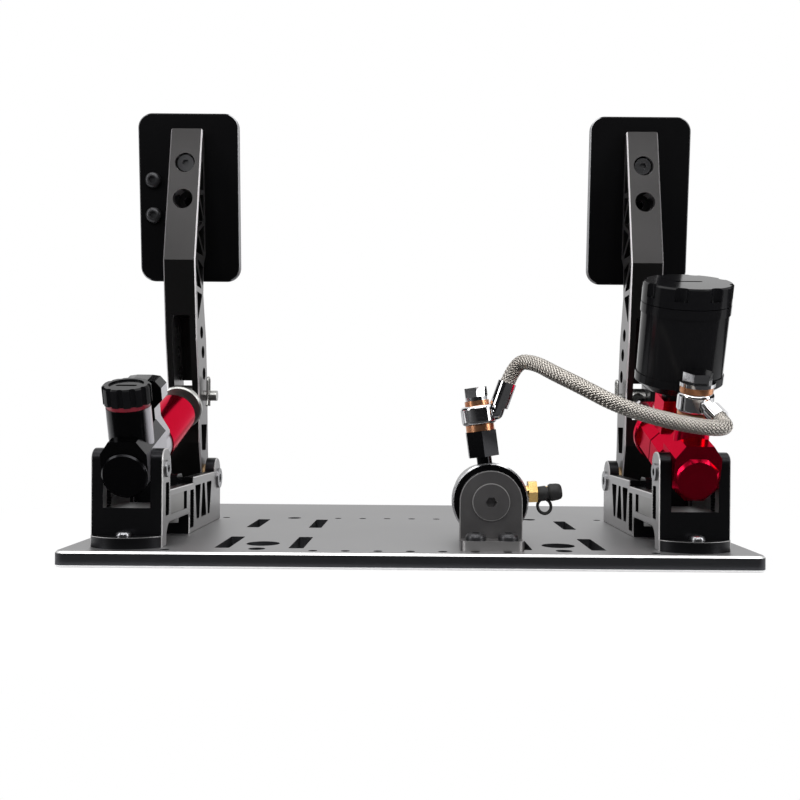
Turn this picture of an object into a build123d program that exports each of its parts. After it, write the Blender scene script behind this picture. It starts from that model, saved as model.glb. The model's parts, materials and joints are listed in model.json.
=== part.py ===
from build123d import *
from math import acos, cos, degrees, pi, radians, sin, tan
import os

os.makedirs("parts", exist_ok=True)

# Two pedals stand at the ends of a flat base plate, and the brake's hose runs to a slave cylinder
# between them. +X is to the right seen from behind, +Y points at the driver, and +Z is up. The
# origin is the middle of the plate's underside.

# Base plate
plate_width = 424.0
plate_depth = 310.0
plate_thickness = 9.5
plate_corner_radius = 6.0
plate_edge_chamfer = 1.2
slot_width = 9.3
slot_length = 54.0
slot_corner_radius = 1.5
slot_outer_x = 115.8
slot_inner_x = 70.3
slot_rear_y = -108.0
slot_front_y = -1.5
rig_hole_diameter = 10.3
rig_hole_x = 93.7
rig_hole_rear_y = -138.0
rig_hole_front_y = 36.3
access_hole_diameter = 21.0
access_hole_y = -114.6
row_hole_diameter = 5.6
row_pitch = 19.6
row_half_count = 3
row_rear_y = -144.5
row_front_y = 36.0
row_outer_x = 148.0

# Gaps between pieces that run, seat or only pass each other
running_gap = 0.05
seat_gap = 0.05
side_gap = 0.2
open_pivot_gap = 0.6
screw_gap = 0.25
blind_gap = 1.0
cut_overrun = 2.0

# Pedal bracket: one U-shaped piece with two side plates, a rear block and a lip
pedal_x = 174.0
bracket_width = 44.0
side_plate_thickness = 7.5
bracket_rear_y = -135.6
bracket_edge_chamfer = 0.6
ear_width = 17.6
ear_top_z = 70.0
ear_round = 7.0
low_rail_z = 43.5
high_rail_z = 47.6
rail_step_y = -57.0
lug_radius = 10.4
lug_y = 19.3
leg_width = 9.6
arch_front_y = -68.6
arch_top_z = 23.3
arch_rear_round = 9.0
arch_front_round = 3.0
channel_floor_rear_z = 33.5
channel_floor_front_z = 17.0
channel_step_y = -97.0
lip_height = 7.0
lip_bulge = 10.9
lip_overlap = 3.0

rear_slot_y = -124.8
rear_slot_width = 7.6
rear_slot_bottom_z = 28.0
rear_slot_top_z = 48.7
middle_slot_y = -61.8
middle_slot_width = 10.0
middle_slot_bottom_z = 13.0
middle_slot_top_z = 39.3
tooth_width = 1.1
tooth_pitch = 1.8
window_round = 1.0
panel_rear_y = -115.8
panel_front_y = -82.4
panel_gap_front_y = -76.0
panel_bottom_z = 27.8
panel_top_z = 39.8
panel_recess = 1.8
panel_thickness = 1.4
bay_rear_y = -52.5
bay_front_y = -1.3
bay_bottom_z = 17.5
bay_top_z = 41.6
bay_window_shares = (
    ((0.00, 1.0), (0.315, 1.0), (0.24, 0.0), (0.085, 0.0)),
    ((0.425, 1.0), (0.56, 1.0), (0.665, 0.0), (0.355, 0.0)),
    ((0.69, 1.0), (1.00, 1.0), (0.88, 0.0), (0.76, 0.0)),
)

stop_block_length = 15.0
stop_block_y = -65.5
stop_block_bottom_z = 30.0
stop_block_top_z = 50.5
stop_round = 4.0
stop_screw_diameter = 5.0
stop_screw_head_diameter = 9.0
stop_screw_head_depth = 2.6
stop_screw_length = 16.0
stop_screw_y = -66.5
stop_screw_z = 41.2

# Screws
button_round_share = 0.7
socket_share = 0.4
socket_depth = 1.8
thin_socket_depth = 1.0
bracket_screw_diameter = 6.0
lip_screw_y = -140.6
lip_screw_head_diameter = 9.6
lip_screw_head_height = 3.4
lip_screw_length = 15.0
under_screw_y = -18.0
under_screw_pitch = 30.0
under_screw_head_diameter = 10.0
under_screw_head_height = 4.4
counterbore_gap = 0.5

# Arm shaft and bushes
arm_pivot_y = 22.0
arm_pivot_z = 42.0
shaft_diameter = 12.0
shaft_head_diameter = 15.3
shaft_head_height = 1.6
shaft_thread_diameter = 6.0
shaft_thread_length = 9.0
bush_diameter = 16.0
bush_flange_diameter = 22.0

# Pedal arm: places are shares of its height, both measured from its pivot
arm_width = 24.0
arm_height = 268.0
arm_boss_radius = 12.0
arm_edge_chamfer = 0.9
arm_rear_shares = (
    (-0.0448, 0.0075), (-0.0746, 0.1045), (-0.0858, 0.2575), (-0.1157, 0.3955), (-0.1354, 0.5470),
    (-0.1444, 0.6134), (-0.0709, 1.0000),
)
arm_front_shares = (
    (-0.0511, 1.0000), (-0.0164, 0.6455), (-0.0373, 0.6194), (-0.0410, 0.5299), (-0.0019, 0.4030),
    (0.0187, 0.2612), (0.0299, 0.1045), (0.0429, 0.0075),
)
arm_lattice_shares = (
    ((-0.0653, 0.9216), (-0.0522, 0.8284), (-0.0918, 0.8209)),
    ((-0.0515, 0.8153), (-0.0978, 0.8041), (-0.0451, 0.7500)),
    ((-0.1015, 0.7892), (-0.1127, 0.7090), (-0.0522, 0.7388)),
    ((-0.0437, 0.7295), (-0.1067, 0.6978), (-0.0358, 0.6493)),
    ((-0.1164, 0.6884), (-0.1269, 0.6381), (-0.0463, 0.6403)),
    ((-0.1216, 0.6231), (-0.0515, 0.6082), (-0.0541, 0.5504)),
    ((-0.1306, 0.6063), (-0.1224, 0.5448), (-0.0649, 0.5433)),
    ((-0.1187, 0.5299), (-0.0575, 0.5284), (-0.1056, 0.4478)),
    ((-0.0567, 0.1567), (0.0119, 0.1567), (0.0000, 0.0821), (-0.0463, 0.0821)),
)
pin_hole_shares = ((-0.0616, 0.4198), (-0.0429, 0.3649), (-0.0280, 0.3034))
lattice_round = 0.9
pin_hole_diameter = 9.5
channel_width = 13.4
channel_low_share = 0.1793
channel_high_share = 0.4627
channel_open_share = 0.2850
channel_wall_share = 0.0130

# Face plate and its screws
face_width = 77.5
face_height = 128.0
face_thickness = 5.0
face_corner_radius = 11.0
face_edge_chamfer = 0.9
face_lean = 5.6
face_centre_shares = (-0.032463, 0.810821)
face_centre_y = arm_pivot_y + face_centre_shares[0] * arm_height
face_centre_z = arm_pivot_z + face_centre_shares[1] * arm_height
groove_count = 9
groove_pitch = 12.0
groove_length = 56.0
groove_width = 3.0
groove_depth = 0.8
face_screw_diameter = 6.0
face_screw_head_diameter = 12.4
face_screw_head_height = 5.6
face_counterbore_diameter = 15.0
face_floor = 4.4
face_screw_rise = 24.8
face_spare_drop = 28.1
side_screw_x = 27.7
side_screw_rise = 13.3
side_screw_pitch = 26.6
side_screw_diameter = 6.0
side_screw_head_diameter = 12.0
side_screw_head_height = 4.2

# Each cylinder swings on a pin through the bracket's ears, and its rod ends in an eye in the arm
cylinder_pin_y = -127.0
cylinder_pin_z = 57.5
cylinder_rise = 18.6
cylinder_reach = 153.3
rear_pin_diameter = 8.0
rear_pin_head_diameter = 10.9
rear_pin_head_height = 1.4
rod_diameter = 10.0
eye_radius = 8.0
eye_width = 12.0
eye_neck_diameter = 12.4
eye_thread_length = 9.0
clevis_pin_diameter = 8.0
clevis_head_diameter = 11.0
clevis_head_height = 2.0
clevis_tail = 9.5
clip_wire_diameter = 1.8
clip_inset = 3.4
clip_leg_below = 8.0
clip_leg_above = 14.0
clip_span = 6.4
clip_bend = 3.0
block_diameter = 28.4
block_rear = 14.5
shoulder_rear = -12.5
shoulder_side = 13.5
shoulder_top = 21.5
shoulder_half_top = 8.5

# Throttle cylinder: a black body with a neck and a tower, a red tube, and a rod with a ring
throttle_body_front = 45.4
spigot_length = 8.0
tube_diameter = 30.0
tube_wall = 2.5
tube_to_clevis = 47.3
tube_front = cylinder_reach - tube_to_clevis
gland_length = 8.0
throttle_piston_to_gland = 4.0
throttle_piston_front = tube_front - gland_length - throttle_piston_to_gland
piston_length = 8.0
neck_along = 6.0
neck_diameter = 27.0
neck_top = 38.6
neck_bore_diameter = 20.0
neck_bore_floor = 22.0
neck_foot = 8.0
seal_ring_diameter = 26.2
seal_ring_height = 2.6
throttle_cap_diameter = 29.2
throttle_cap_height = 11.6
throttle_cap_scallops = 12
scallop_diameter = 3.6
cap_spigot_depth = 8.0
cap_recess_diameter = 21.0
cap_recess_depth = 1.0
cap_slot_width = 3.0
cap_slot_length = 13.0
cap_slot_depth = 1.4
cap_chamfer = 1.0
tower_rear = 32.0
tower_height = 47.5
tower_half_width = 13.5
tower_shares = (
    (0.37, 1.0), (0.73, 0.985), (1.0, 0.89), (1.0, 0.72), (0.59, 0.60), (0.59, 0.41),
    (0.96, 0.20), (0.96, 0.0),
)
ring_diameter = 33.0
ring_to_clevis = 32.8
ring_rear = cylinder_reach - ring_to_clevis
ring_thickness = 4.0
throttle_nut_flats = 16.0
throttle_nut_length = 5.0

# Brake cylinder: a red octagonal body with two ports, a front ring, and a rod with a nut
octagon_turn = 22.5
brake_face_diameter = 24.0
brake_block_taper = 3.0
brake_body_rear = 16.0
brake_body_flats = 33.0
brake_body_front = 68.0
body_groove_along = 38.0
body_groove_width = 1.6
body_groove_depth = 1.4
master_bore_diameter = 18.0
master_bore_rear = 24.0
front_ring_diameter = 39.0
front_ring_length = 5.0
brake_piston_front = 62.0
brake_nut_flats = 18.0
brake_nut_to_clevis = 36.0
brake_nut_rear = cylinder_reach - brake_nut_to_clevis
brake_nut_length = 8.0
port_along = 7.0
port_boss_diameter = 21.4
port_boss_top = 36.0
port_boss_foot = 8.0
feed_along = 46.5
feed_block_width = 22.0
feed_block_top = 34.9
feed_block_foot = 10.0
feed_hole_diameter = 8.0

# Reservoir, with its heights above the cylinder's axis
reservoir_neck_diameter = 19.0
reservoir_bottom = 41.3
reservoir_foot_diameter = 43.0
reservoir_band_bottom = 46.7
reservoir_band_top = 52.1
reservoir_band_diameter = 56.0
reservoir_diameter = 54.6
reservoir_rim_bottom = 91.7
reservoir_rim_top = 97.6
reservoir_wall = 2.7
reservoir_cap_bottom = 98.0
reservoir_cap_height = 12.9
reservoir_cap_diameter = 55.8
reservoir_spigot_depth = 5.0
reservoir_cap_notches = 8
notch_diameter = 9.0
notch_share = 0.36
notch_height = 8.4
reservoir_slot_length = 18.0

# Banjo fittings, alike at both ends of the hose, with their heights above their seats
washer_diameter = 20.2
banjo_bolt_diameter = 10.0
banjo_bolt_depth = 12.0
port_washer_below = 2.1
port_washer_above = 4.0
port_ball_height = 12.4
banjo_ball_diameter = 22.0
ball_round = 2.2
port_flange_diameter = 21.7
slave_flange_diameter = 14.0
bolt_flange_height = 2.3
port_bolt_flats = 15.8
bolt_hex_height = 6.0
collar_diameter = 11.9
collar_depth = 8.0
elbow_diameter = 8.6
collar_start = 4.5
elbow_trim = 7.0
port_elbow_reach = 10.6
port_collar_length = 12.5
slave_elbow_reach = 11.6
slave_collar_length = 20.5

# Slave cylinder on its L bracket, with an adaptor and a bleed nipple
slave_x = 49.9
slave_z = 38.0
slave_turn = 7.8
slave_foot_width = 39.0
slave_foot_rear_y = -143.0
slave_foot_thickness = 6.0
slave_foot_round = 5.0
slave_upright_rear_y = -128.0
slave_upright_thickness = 6.0
slave_screw_pitch = 20.1
slave_screw_y = -135.4
slave_screw_diameter = 6.0
slave_screw_head_diameter = 12.7
slave_screw_head_height = 4.4
slave_screw_length = 13.0
slave_rim_diameter = 48.0
slave_rim_length = 12.0
slave_body_diameter = 42.0
slave_body_length = 58.0
slave_bore_diameter = 32.0
slave_bore_rear_y = -104.0
slave_cap_length = 8.0
slave_piston_length = 9.0
slave_piston_y = -98.0
slave_pad_diameter = 20.0
slave_plug_diameter = 22.6
slave_plug_height = 1.4
slave_plug_shank_diameter = 14.0
slave_plug_shank_length = 16.0
slave_socket_width = 6.0
slave_socket_depth = 5.0
adaptor_y = -114.6
adaptor_stub_diameter = 9.6
adaptor_stub_length = 8.0
adaptor_neck_top = 28.2
adaptor_flats = 18.6
adaptor_hex_height = 16.3
slave_washer_below = 4.0
slave_ball_height = 12.2
slave_washer_above = 3.1
slave_washer_diameter = 18.0
slave_high_washer_diameter = 15.6
slave_bolt_flats = 14.0
nipple_rise = 4.4
nipple_tilt = 3.0
nipple_start = 24.4
nipple_diameter = 8.0
nipple_depth = 9.0
nipple_hex_flats = 13.0
nipple_hex_length = 5.4
nipple_stem_diameter = 6.0
nipple_stem_length = 13.0
bleed_cap_diameter = 10.2
bleed_cap_length = 15.6
bleed_cap_lip_diameter = 11.6
bleed_cap_lip_length = 2.4
strap_outer_radius = 6.0
strap_inner_radius = 4.2
strap_width = 4.0
strap_drop = 9.2

# The hose's corners between its two collars
hose_diameter = 9.6
hose_seat_gap = 0.05
hose_turn_share = 0.45
hose_corners = (
    (185.3, -156.1, 87.5),
    (181.5, -164.6, 85.2),
    (168.0, -168.0, 85.8),
    (145.5, -168.4, 90.0),
    (119.6, -168.0, 97.7),
    (99.5, -162.4, 108.9),
    (84.6, -149.0, 117.6),
    (75.6, -134.6, 124.4),
    (64.5, -121.5, 126.0),
)

cos_rise = cos(radians(cylinder_rise))
sin_rise = sin(radians(cylinder_rise))
clevis_y = cylinder_pin_y + cylinder_reach * cos_rise
clevis_z = cylinder_pin_z + cylinder_reach * sin_rise
inner_width = bracket_width - 2 * side_plate_thickness
pedals = {"throttle": -1, "brake": 1}


def save(piece, name):
    """Name a finished piece and write it."""
    piece.part.label = name
    export_step(piece.part, f"parts/{name}.step")


def axis_plane(x, along, up=0.0):
    """The plane square to a pedal cylinder's axis, with its own Y pointing up from the axis."""
    return Plane(
        origin=(
            x,
            cylinder_pin_y + along * cos_rise - up * sin_rise,
            cylinder_pin_z + along * sin_rise + up * cos_rise,
        ),
        x_dir=(-1, 0, 0),
        z_dir=(0, cos_rise, sin_rise),
    )


def stack_plane(x, along, up):
    """The plane that a neck or a fitting stands on, at a height above a pedal cylinder's axis."""
    return Plane(
        origin=axis_plane(x, along, up).origin,
        x_dir=(1, 0, 0),
        z_dir=(0, -sin_rise, cos_rise),
    )


def shoulder_block(x, front):
    """The square shoulder over a cylinder's pivot, with its two upper corners cut off."""
    half = block_diameter / 2
    with BuildSketch(axis_plane(x, shoulder_rear)) as section:
        with BuildLine():
            Polyline(
                (-half, 0),
                (half, 0),
                (half, shoulder_side),
                (shoulder_half_top, shoulder_top),
                (-shoulder_half_top, shoulder_top),
                (-half, shoulder_side),
                close=True,
            )
        make_face()
    extrude(section.sketch, amount=front - shoulder_rear)


def facing_plane(x, y, z):
    """An upright plane that faces +Y, with its own Y pointing up."""
    return Plane(origin=(x, y, z), x_dir=(-1, 0, 0), z_dir=(0, 1, 0))


def side_plane(x, y, z):
    """An upright plane that faces +X, with its own X along Y and its own Y up."""
    return Plane(origin=(x, y, z), x_dir=(0, 1, 0), z_dir=(1, 0, 0))


def slave_plane(height):
    """The plane square to the turned slave cylinder's upward axis."""
    turn = radians(slave_turn)
    return Plane(
        origin=(slave_x - height * sin(turn), adaptor_y, slave_z + height * cos(turn)),
        x_dir=(0, 1, 0),
        z_dir=(-sin(turn), 0, cos(turn)),
    )


def nipple_plane(reach):
    """The plane square to the bleed nipple's axis, at a distance from the slave's middle."""
    tilt = radians(nipple_tilt)
    return Plane(
        origin=(slave_x + reach * cos(tilt), adaptor_y, slave_z + nipple_rise + reach * sin(tilt)),
        x_dir=(0, 1, 0),
        z_dir=(cos(tilt), 0, sin(tilt)),
    )


def face_plane(x, depth=0.0):
    """The plane of a face plate's rear face, moved towards the driver by a depth."""
    lean = radians(face_lean)
    return Plane(
        origin=(x, face_centre_y + depth * cos(lean), face_centre_z + depth * sin(lean)),
        x_dir=(-1, 0, 0),
        z_dir=(0, cos(lean), sin(lean)),
    )


def arm_point(share):
    """A point on an arm's side from its shares of the arm's height."""
    return (arm_pivot_y + arm_height * share[0], arm_pivot_z + arm_height * share[1])


def round_bar(plane, diameter, length, mode=Mode.ADD):
    """A round bar, or a round hole, from a plane along its own axis."""
    with BuildSketch(plane) as section:
        Circle(diameter / 2)
    extrude(section.sketch, amount=length, mode=mode)


def washer_shape(plane, outer, inner, length):
    """A ring from a plane along its own axis."""
    with BuildSketch(plane) as section:
        Circle(outer / 2)
        Circle(inner / 2, mode=Mode.SUBTRACT)
    extrude(section.sketch, amount=length)


def hex_bar(plane, flats, length, mode=Mode.ADD):
    """A hexagonal bar, or a hexagonal hole, from a plane along its own axis."""
    with BuildSketch(plane) as section:
        RegularPolygon(flats / 2, side_count=6, major_radius=False)
    extrude(section.sketch, amount=length, mode=mode)


def outer_rim(piece, plane, height, radius):
    """The round edge of a piece at a height above a plane, with a given radius."""
    middle = plane.origin + plane.z_dir * height
    return [
        edge for edge in piece.edges().filter_by(GeomType.CIRCLE)
        if (edge.arc_center - middle).length < seat_gap and abs(edge.radius - radius) < seat_gap
    ]


def button_screw(piece, plane, head_diameter, head_height, diameter, length):
    """A domed head on a plane with a socket in it, and the thread below."""
    round_bar(plane, head_diameter, head_height)
    fillet(outer_rim(piece, plane, head_height, head_diameter / 2), head_height * button_round_share)
    round_bar(plane, diameter, -length)
    hex_bar(plane.offset(head_height), head_diameter * socket_share, -socket_depth, Mode.SUBTRACT)


# Base plate
with BuildPart() as base_plate:
    with BuildSketch():
        RectangleRounded(plate_width, plate_depth, plate_corner_radius)
    extrude(amount=plate_thickness)
    chamfer(base_plate.faces().filter_by(Axis.Z).edges(), plate_edge_chamfer)
    slot_places = [(x * side, y) for x in (slot_outer_x, slot_inner_x) for side in (-1, 1)
                   for y in (slot_rear_y, slot_front_y)]
    rig_places = [(rig_hole_x * side, y) for side in (-1, 1) for y in (rig_hole_rear_y, rig_hole_front_y)]
    access_places = [(rig_hole_x * side, access_hole_y) for side in (-1, 1)]
    row_xs = [row_pitch * step for step in range(-row_half_count, row_half_count + 1)]
    row_xs += [-row_outer_x, row_outer_x]
    row_places = [(x, y) for x in row_xs for y in (row_rear_y, row_front_y)]
    lip_places = [(pedal_x * side, lip_screw_y) for side in (-1, 1)]
    under_places = [(pedal_x * side, under_screw_y + under_screw_pitch * end / 2)
                    for side in (-1, 1) for end in (-1, 1)]
    slave_places = [(slave_x + slave_screw_pitch * end / 2, slave_screw_y) for end in (-1, 1)]
    with BuildSketch():
        with Locations(slot_places):
            RectangleRounded(slot_width, slot_length, slot_corner_radius)
        with Locations(rig_places):
            Circle(rig_hole_diameter / 2)
        with Locations(access_places):
            Circle(access_hole_diameter / 2)
        with Locations(row_places):
            Circle(row_hole_diameter / 2)
        with Locations(lip_places + under_places):
            Circle(bracket_screw_diameter / 2 + seat_gap)
        with Locations(slave_places):
            Circle(slave_screw_diameter / 2 + seat_gap)
    extrude(amount=plate_thickness, mode=Mode.SUBTRACT)
    with BuildSketch():
        with Locations(under_places):
            Circle(under_screw_head_diameter / 2 + counterbore_gap)
    extrude(amount=under_screw_head_height + counterbore_gap, mode=Mode.SUBTRACT)
save(base_plate, "base_plate")


def corners_at(sketch, y, z):
    """The corner of a side-view sketch at a place."""
    return [v for v in sketch.vertices() if abs(v.X - y) < seat_gap and abs(v.Y - z) < seat_gap]


def bay_point(share):
    """A corner of a bay window from its shares of the bay."""
    return (
        bay_rear_y + (bay_front_y - bay_rear_y) * share[0],
        bay_bottom_z + (bay_top_z - bay_bottom_z) * share[1],
    )


def bracket_piece(side):
    """A pedal bracket, machined from one piece."""
    x = pedal_x * side
    ear_front_y = bracket_rear_y + ear_width
    with BuildPart() as bracket:
        with BuildSketch(side_plane(x - bracket_width / 2, 0, 0)) as outline:
            with BuildLine():
                Polyline(
                    (lug_y - lug_radius, high_rail_z),
                    (rail_step_y, high_rail_z),
                    (rail_step_y, low_rail_z),
                    (ear_front_y, low_rail_z),
                    (ear_front_y, ear_top_z),
                    (bracket_rear_y, ear_top_z),
                    (bracket_rear_y, plate_thickness),
                    (bracket_rear_y + leg_width, plate_thickness),
                    (bracket_rear_y + leg_width, arch_top_z),
                    (arch_front_y, arch_top_z),
                    (arch_front_y, plate_thickness),
                    (lug_y + lug_radius, plate_thickness),
                    (lug_y + lug_radius, high_rail_z),
                )
                ThreePointArc(
                    (lug_y + lug_radius, high_rail_z),
                    (lug_y, high_rail_z + lug_radius),
                    (lug_y - lug_radius, high_rail_z),
                )
            make_face()
            ear_corners = corners_at(outline, bracket_rear_y, ear_top_z)
            ear_corners += corners_at(outline, ear_front_y, ear_top_z)
            fillet(ear_corners, ear_round)
            fillet(corners_at(outline, bracket_rear_y + leg_width, arch_top_z), arch_rear_round)
            fillet(corners_at(outline, arch_front_y, arch_top_z), arch_front_round)
        extrude(amount=bracket_width)
        chamfer(bracket.faces().filter_by(Axis.X).edges(), bracket_edge_chamfer)
        with BuildSketch(side_plane(x - inner_width / 2, 0, 0)):
            with BuildLine():
                Polyline(
                    (bracket_rear_y - cut_overrun, channel_floor_rear_z),
                    (channel_step_y, channel_floor_rear_z),
                    (channel_step_y, channel_floor_front_z),
                    (lug_y + lug_radius + cut_overrun, channel_floor_front_z),
                    (lug_y + lug_radius + cut_overrun, ear_top_z + cut_overrun),
                    (bracket_rear_y - cut_overrun, ear_top_z + cut_overrun),
                    close=True,
                )
            make_face()
        extrude(amount=inner_width, mode=Mode.SUBTRACT)
        for start in (-bracket_width / 2, inner_width / 2):
            with BuildSketch(side_plane(x + start, 0, 0)):
                for y, width, low, high in (
                    (rear_slot_y, rear_slot_width, rear_slot_bottom_z, rear_slot_top_z),
                    (middle_slot_y, middle_slot_width, middle_slot_bottom_z, middle_slot_top_z),
                ):
                    with Locations((y, (low + high) / 2)):
                        RectangleRounded(width, high - low, window_round)
                    count = int((high - low - 2 * tooth_pitch) / tooth_pitch)
                    with Locations((y + width / 2, (low + high) / 2)):
                        with GridLocations(0, tooth_pitch, 1, count):
                            Rectangle(tooth_width, tooth_width, rotation=45)
                with Locations(((panel_front_y + panel_gap_front_y) / 2, (panel_bottom_z + panel_top_z) / 2)):
                    Rectangle(panel_gap_front_y - panel_front_y, panel_top_z - panel_bottom_z)
            extrude(amount=side_plate_thickness, mode=Mode.SUBTRACT)
            for shares in bay_window_shares:
                with BuildSketch(side_plane(x + start, 0, 0)) as window:
                    with BuildLine():
                        Polyline([bay_point(share) for share in shares], close=True)
                    make_face()
                    fillet(window.vertices(), window_round)
                extrude(amount=side_plate_thickness, mode=Mode.SUBTRACT)
        for way in (-1, 1):
            with BuildSketch(side_plane(x + way * bracket_width / 2, 0, 0)):
                with Locations(((panel_rear_y + panel_front_y) / 2, (panel_bottom_z + panel_top_z) / 2)):
                    Rectangle(panel_front_y - panel_rear_y, panel_top_z - panel_bottom_z)
            extrude(amount=-way * panel_recess, mode=Mode.SUBTRACT)
        with BuildSketch(side_plane(x - bracket_width / 2, 0, 0)):
            with Locations((arm_pivot_y, arm_pivot_z)):
                Circle(shaft_diameter / 2 + seat_gap)
            with Locations((cylinder_pin_y, cylinder_pin_z)):
                Circle(rear_pin_diameter / 2 + seat_gap)
        extrude(amount=bracket_width, mode=Mode.SUBTRACT)
        round_bar(side_plane(x + side * inner_width / 2, stop_screw_y, stop_screw_z),
                  stop_screw_diameter + 2 * screw_gap, side * side_plate_thickness, Mode.SUBTRACT)
        head_start = side * (bracket_width / 2 - stop_screw_head_depth)
        round_bar(side_plane(x + head_start, stop_screw_y, stop_screw_z),
                  stop_screw_head_diameter + 2 * screw_gap, side * stop_screw_head_depth, Mode.SUBTRACT)
        with BuildSketch(Plane.XY.offset(plate_thickness)):
            with BuildLine():
                Polyline(
                    (x + bracket_width / 2, bracket_rear_y),
                    (x + bracket_width / 2, bracket_rear_y + lip_overlap),
                    (x - bracket_width / 2, bracket_rear_y + lip_overlap),
                    (x - bracket_width / 2, bracket_rear_y),
                )
                ThreePointArc(
                    (x - bracket_width / 2, bracket_rear_y),
                    (x, bracket_rear_y - lip_bulge),
                    (x + bracket_width / 2, bracket_rear_y),
                )
            make_face()
        extrude(amount=lip_height)
        with BuildSketch(Plane.XY.offset(plate_thickness)):
            with Locations((x, lip_screw_y)):
                Circle(bracket_screw_diameter / 2 + screw_gap)
        extrude(amount=lip_height, mode=Mode.SUBTRACT)
        with BuildSketch(Plane.XY.offset(plate_thickness)):
            with Locations([place for place in under_places if place[0] * side > 0]):
                Circle(bracket_screw_diameter / 2 + seat_gap)
        extrude(amount=channel_floor_front_z - plate_thickness, mode=Mode.SUBTRACT)
    return bracket


def arm_piece(side):
    """A pedal arm with its lattice, channel and holes."""
    x = pedal_x * side
    front = [arm_point(share) for share in arm_front_shares]
    rear = [arm_point(share) for share in arm_rear_shares]
    with BuildPart() as arm:
        with BuildSketch(side_plane(x - arm_width / 2, 0, 0)):
            with BuildLine():
                Polyline(rear + front, close=True)
            make_face()
            with Locations((arm_pivot_y, arm_pivot_z)):
                Circle(arm_boss_radius)
        extrude(amount=arm_width)
        chamfer(arm.faces().filter_by(Axis.X).edges(), arm_edge_chamfer)
        for shares in arm_lattice_shares:
            with BuildSketch(side_plane(x - arm_width / 2, 0, 0)) as window:
                with BuildLine():
                    Polyline([arm_point(share) for share in shares], close=True)
                make_face()
                fillet(window.vertices(), lattice_round)
            extrude(amount=arm_width, mode=Mode.SUBTRACT)
        with BuildSketch(side_plane(x - arm_width / 2, 0, 0)):
            with Locations((arm_pivot_y, arm_pivot_z)):
                Circle(bush_diameter / 2)
            with Locations([arm_point(share) for share in pin_hole_shares]):
                Circle(pin_hole_diameter / 2)
            with Locations((clevis_y, clevis_z)):
                Circle(clevis_pin_diameter / 2 + seat_gap)
        extrude(amount=arm_width, mode=Mode.SUBTRACT)
        low = arm_pivot_z + arm_height * channel_low_share
        middle = arm_pivot_z + arm_height * channel_open_share
        high = arm_pivot_z + arm_height * channel_high_share
        reach = arm_width * 2
        wall = [arm_point((share[0] - channel_wall_share, share[1])) for share in arm_front_shares[3:6]]
        slope = (wall[1][0] - wall[0][0]) / (wall[1][1] - wall[0][1])
        with BuildSketch(side_plane(x - channel_width / 2, 0, 0)):
            with Locations((arm_pivot_y, (low + middle) / 2)):
                Rectangle(2 * reach, middle - low)
            with BuildLine():
                Polyline(
                    (arm_pivot_y - reach, low),
                    (wall[2][0], low),
                    wall[2],
                    wall[1],
                    (wall[1][0] + slope * (high - wall[1][1]), high),
                    (arm_pivot_y - reach, high),
                    close=True,
                )
            make_face()
        extrude(amount=channel_width, mode=Mode.SUBTRACT)
        floor = face_plane(x, -face_floor)
        with BuildSketch(floor):
            with Locations((0, face_screw_rise), (0, face_screw_rise - face_spare_drop)):
                Circle(face_counterbore_diameter / 2)
        extrude(amount=-arm_width, mode=Mode.SUBTRACT)
        with BuildSketch(floor):
            with Locations((0, face_screw_rise), (0, face_screw_rise - face_spare_drop)):
                Circle(face_screw_diameter / 2 + screw_gap)
        extrude(amount=face_floor, mode=Mode.SUBTRACT)
    return arm


def side_screw_places():
    """Places of the two screws at the outer edge of the throttle's face plate."""
    return [(side_screw_x, side_screw_rise), (side_screw_x, side_screw_rise - side_screw_pitch)]


def face_piece(side):
    """A face plate, with grip grooves on the driver's side."""
    x = pedal_x * side
    with BuildPart() as face:
        with BuildSketch(face_plane(x)):
            RectangleRounded(face_width, face_height, face_corner_radius)
        extrude(amount=face_thickness)
        broad = [f for f in face.faces().filter_by(GeomType.PLANE)
                 if abs(f.normal_at().dot(face_plane(x).z_dir)) > cos(radians(face_lean))]
        chamfer([edge for f in broad for edge in f.edges()], face_edge_chamfer)
        with BuildSketch(face_plane(x, face_thickness)):
            with GridLocations(0, groove_pitch, 1, groove_count):
                SlotOverall(groove_length, groove_width)
        extrude(amount=-groove_depth, mode=Mode.SUBTRACT)
        with BuildSketch(face_plane(x)):
            with Locations((0, face_screw_rise)):
                Circle(face_screw_diameter / 2 + seat_gap)
            if side < 0:
                with Locations(side_screw_places()):
                    Circle(side_screw_diameter / 2 + seat_gap)
        extrude(amount=face_thickness, mode=Mode.SUBTRACT)
    return face


def clip_piece(side):
    """A hairpin clip through the clevis pin's tail, on the arm's inner side."""
    x = side * (pedal_x - arm_width / 2 - clip_inset)
    with BuildPart() as clip:
        with BuildLine(side_plane(x, clevis_y, clevis_z)) as wire:
            FilletPolyline(
                (0, -clip_leg_below),
                (0, clip_leg_above),
                (-clip_span, clip_leg_above),
                (-clip_span, -clip_leg_below / 2),
                (-clip_span * 4 / 3, -clip_leg_below),
                radius=[clip_bend, clip_bend, clip_bend / 2],
            )
        with BuildSketch(Plane(origin=wire.line @ 0, z_dir=wire.line % 0)):
            Circle(clip_wire_diameter / 2)
        sweep()
    return clip


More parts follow.
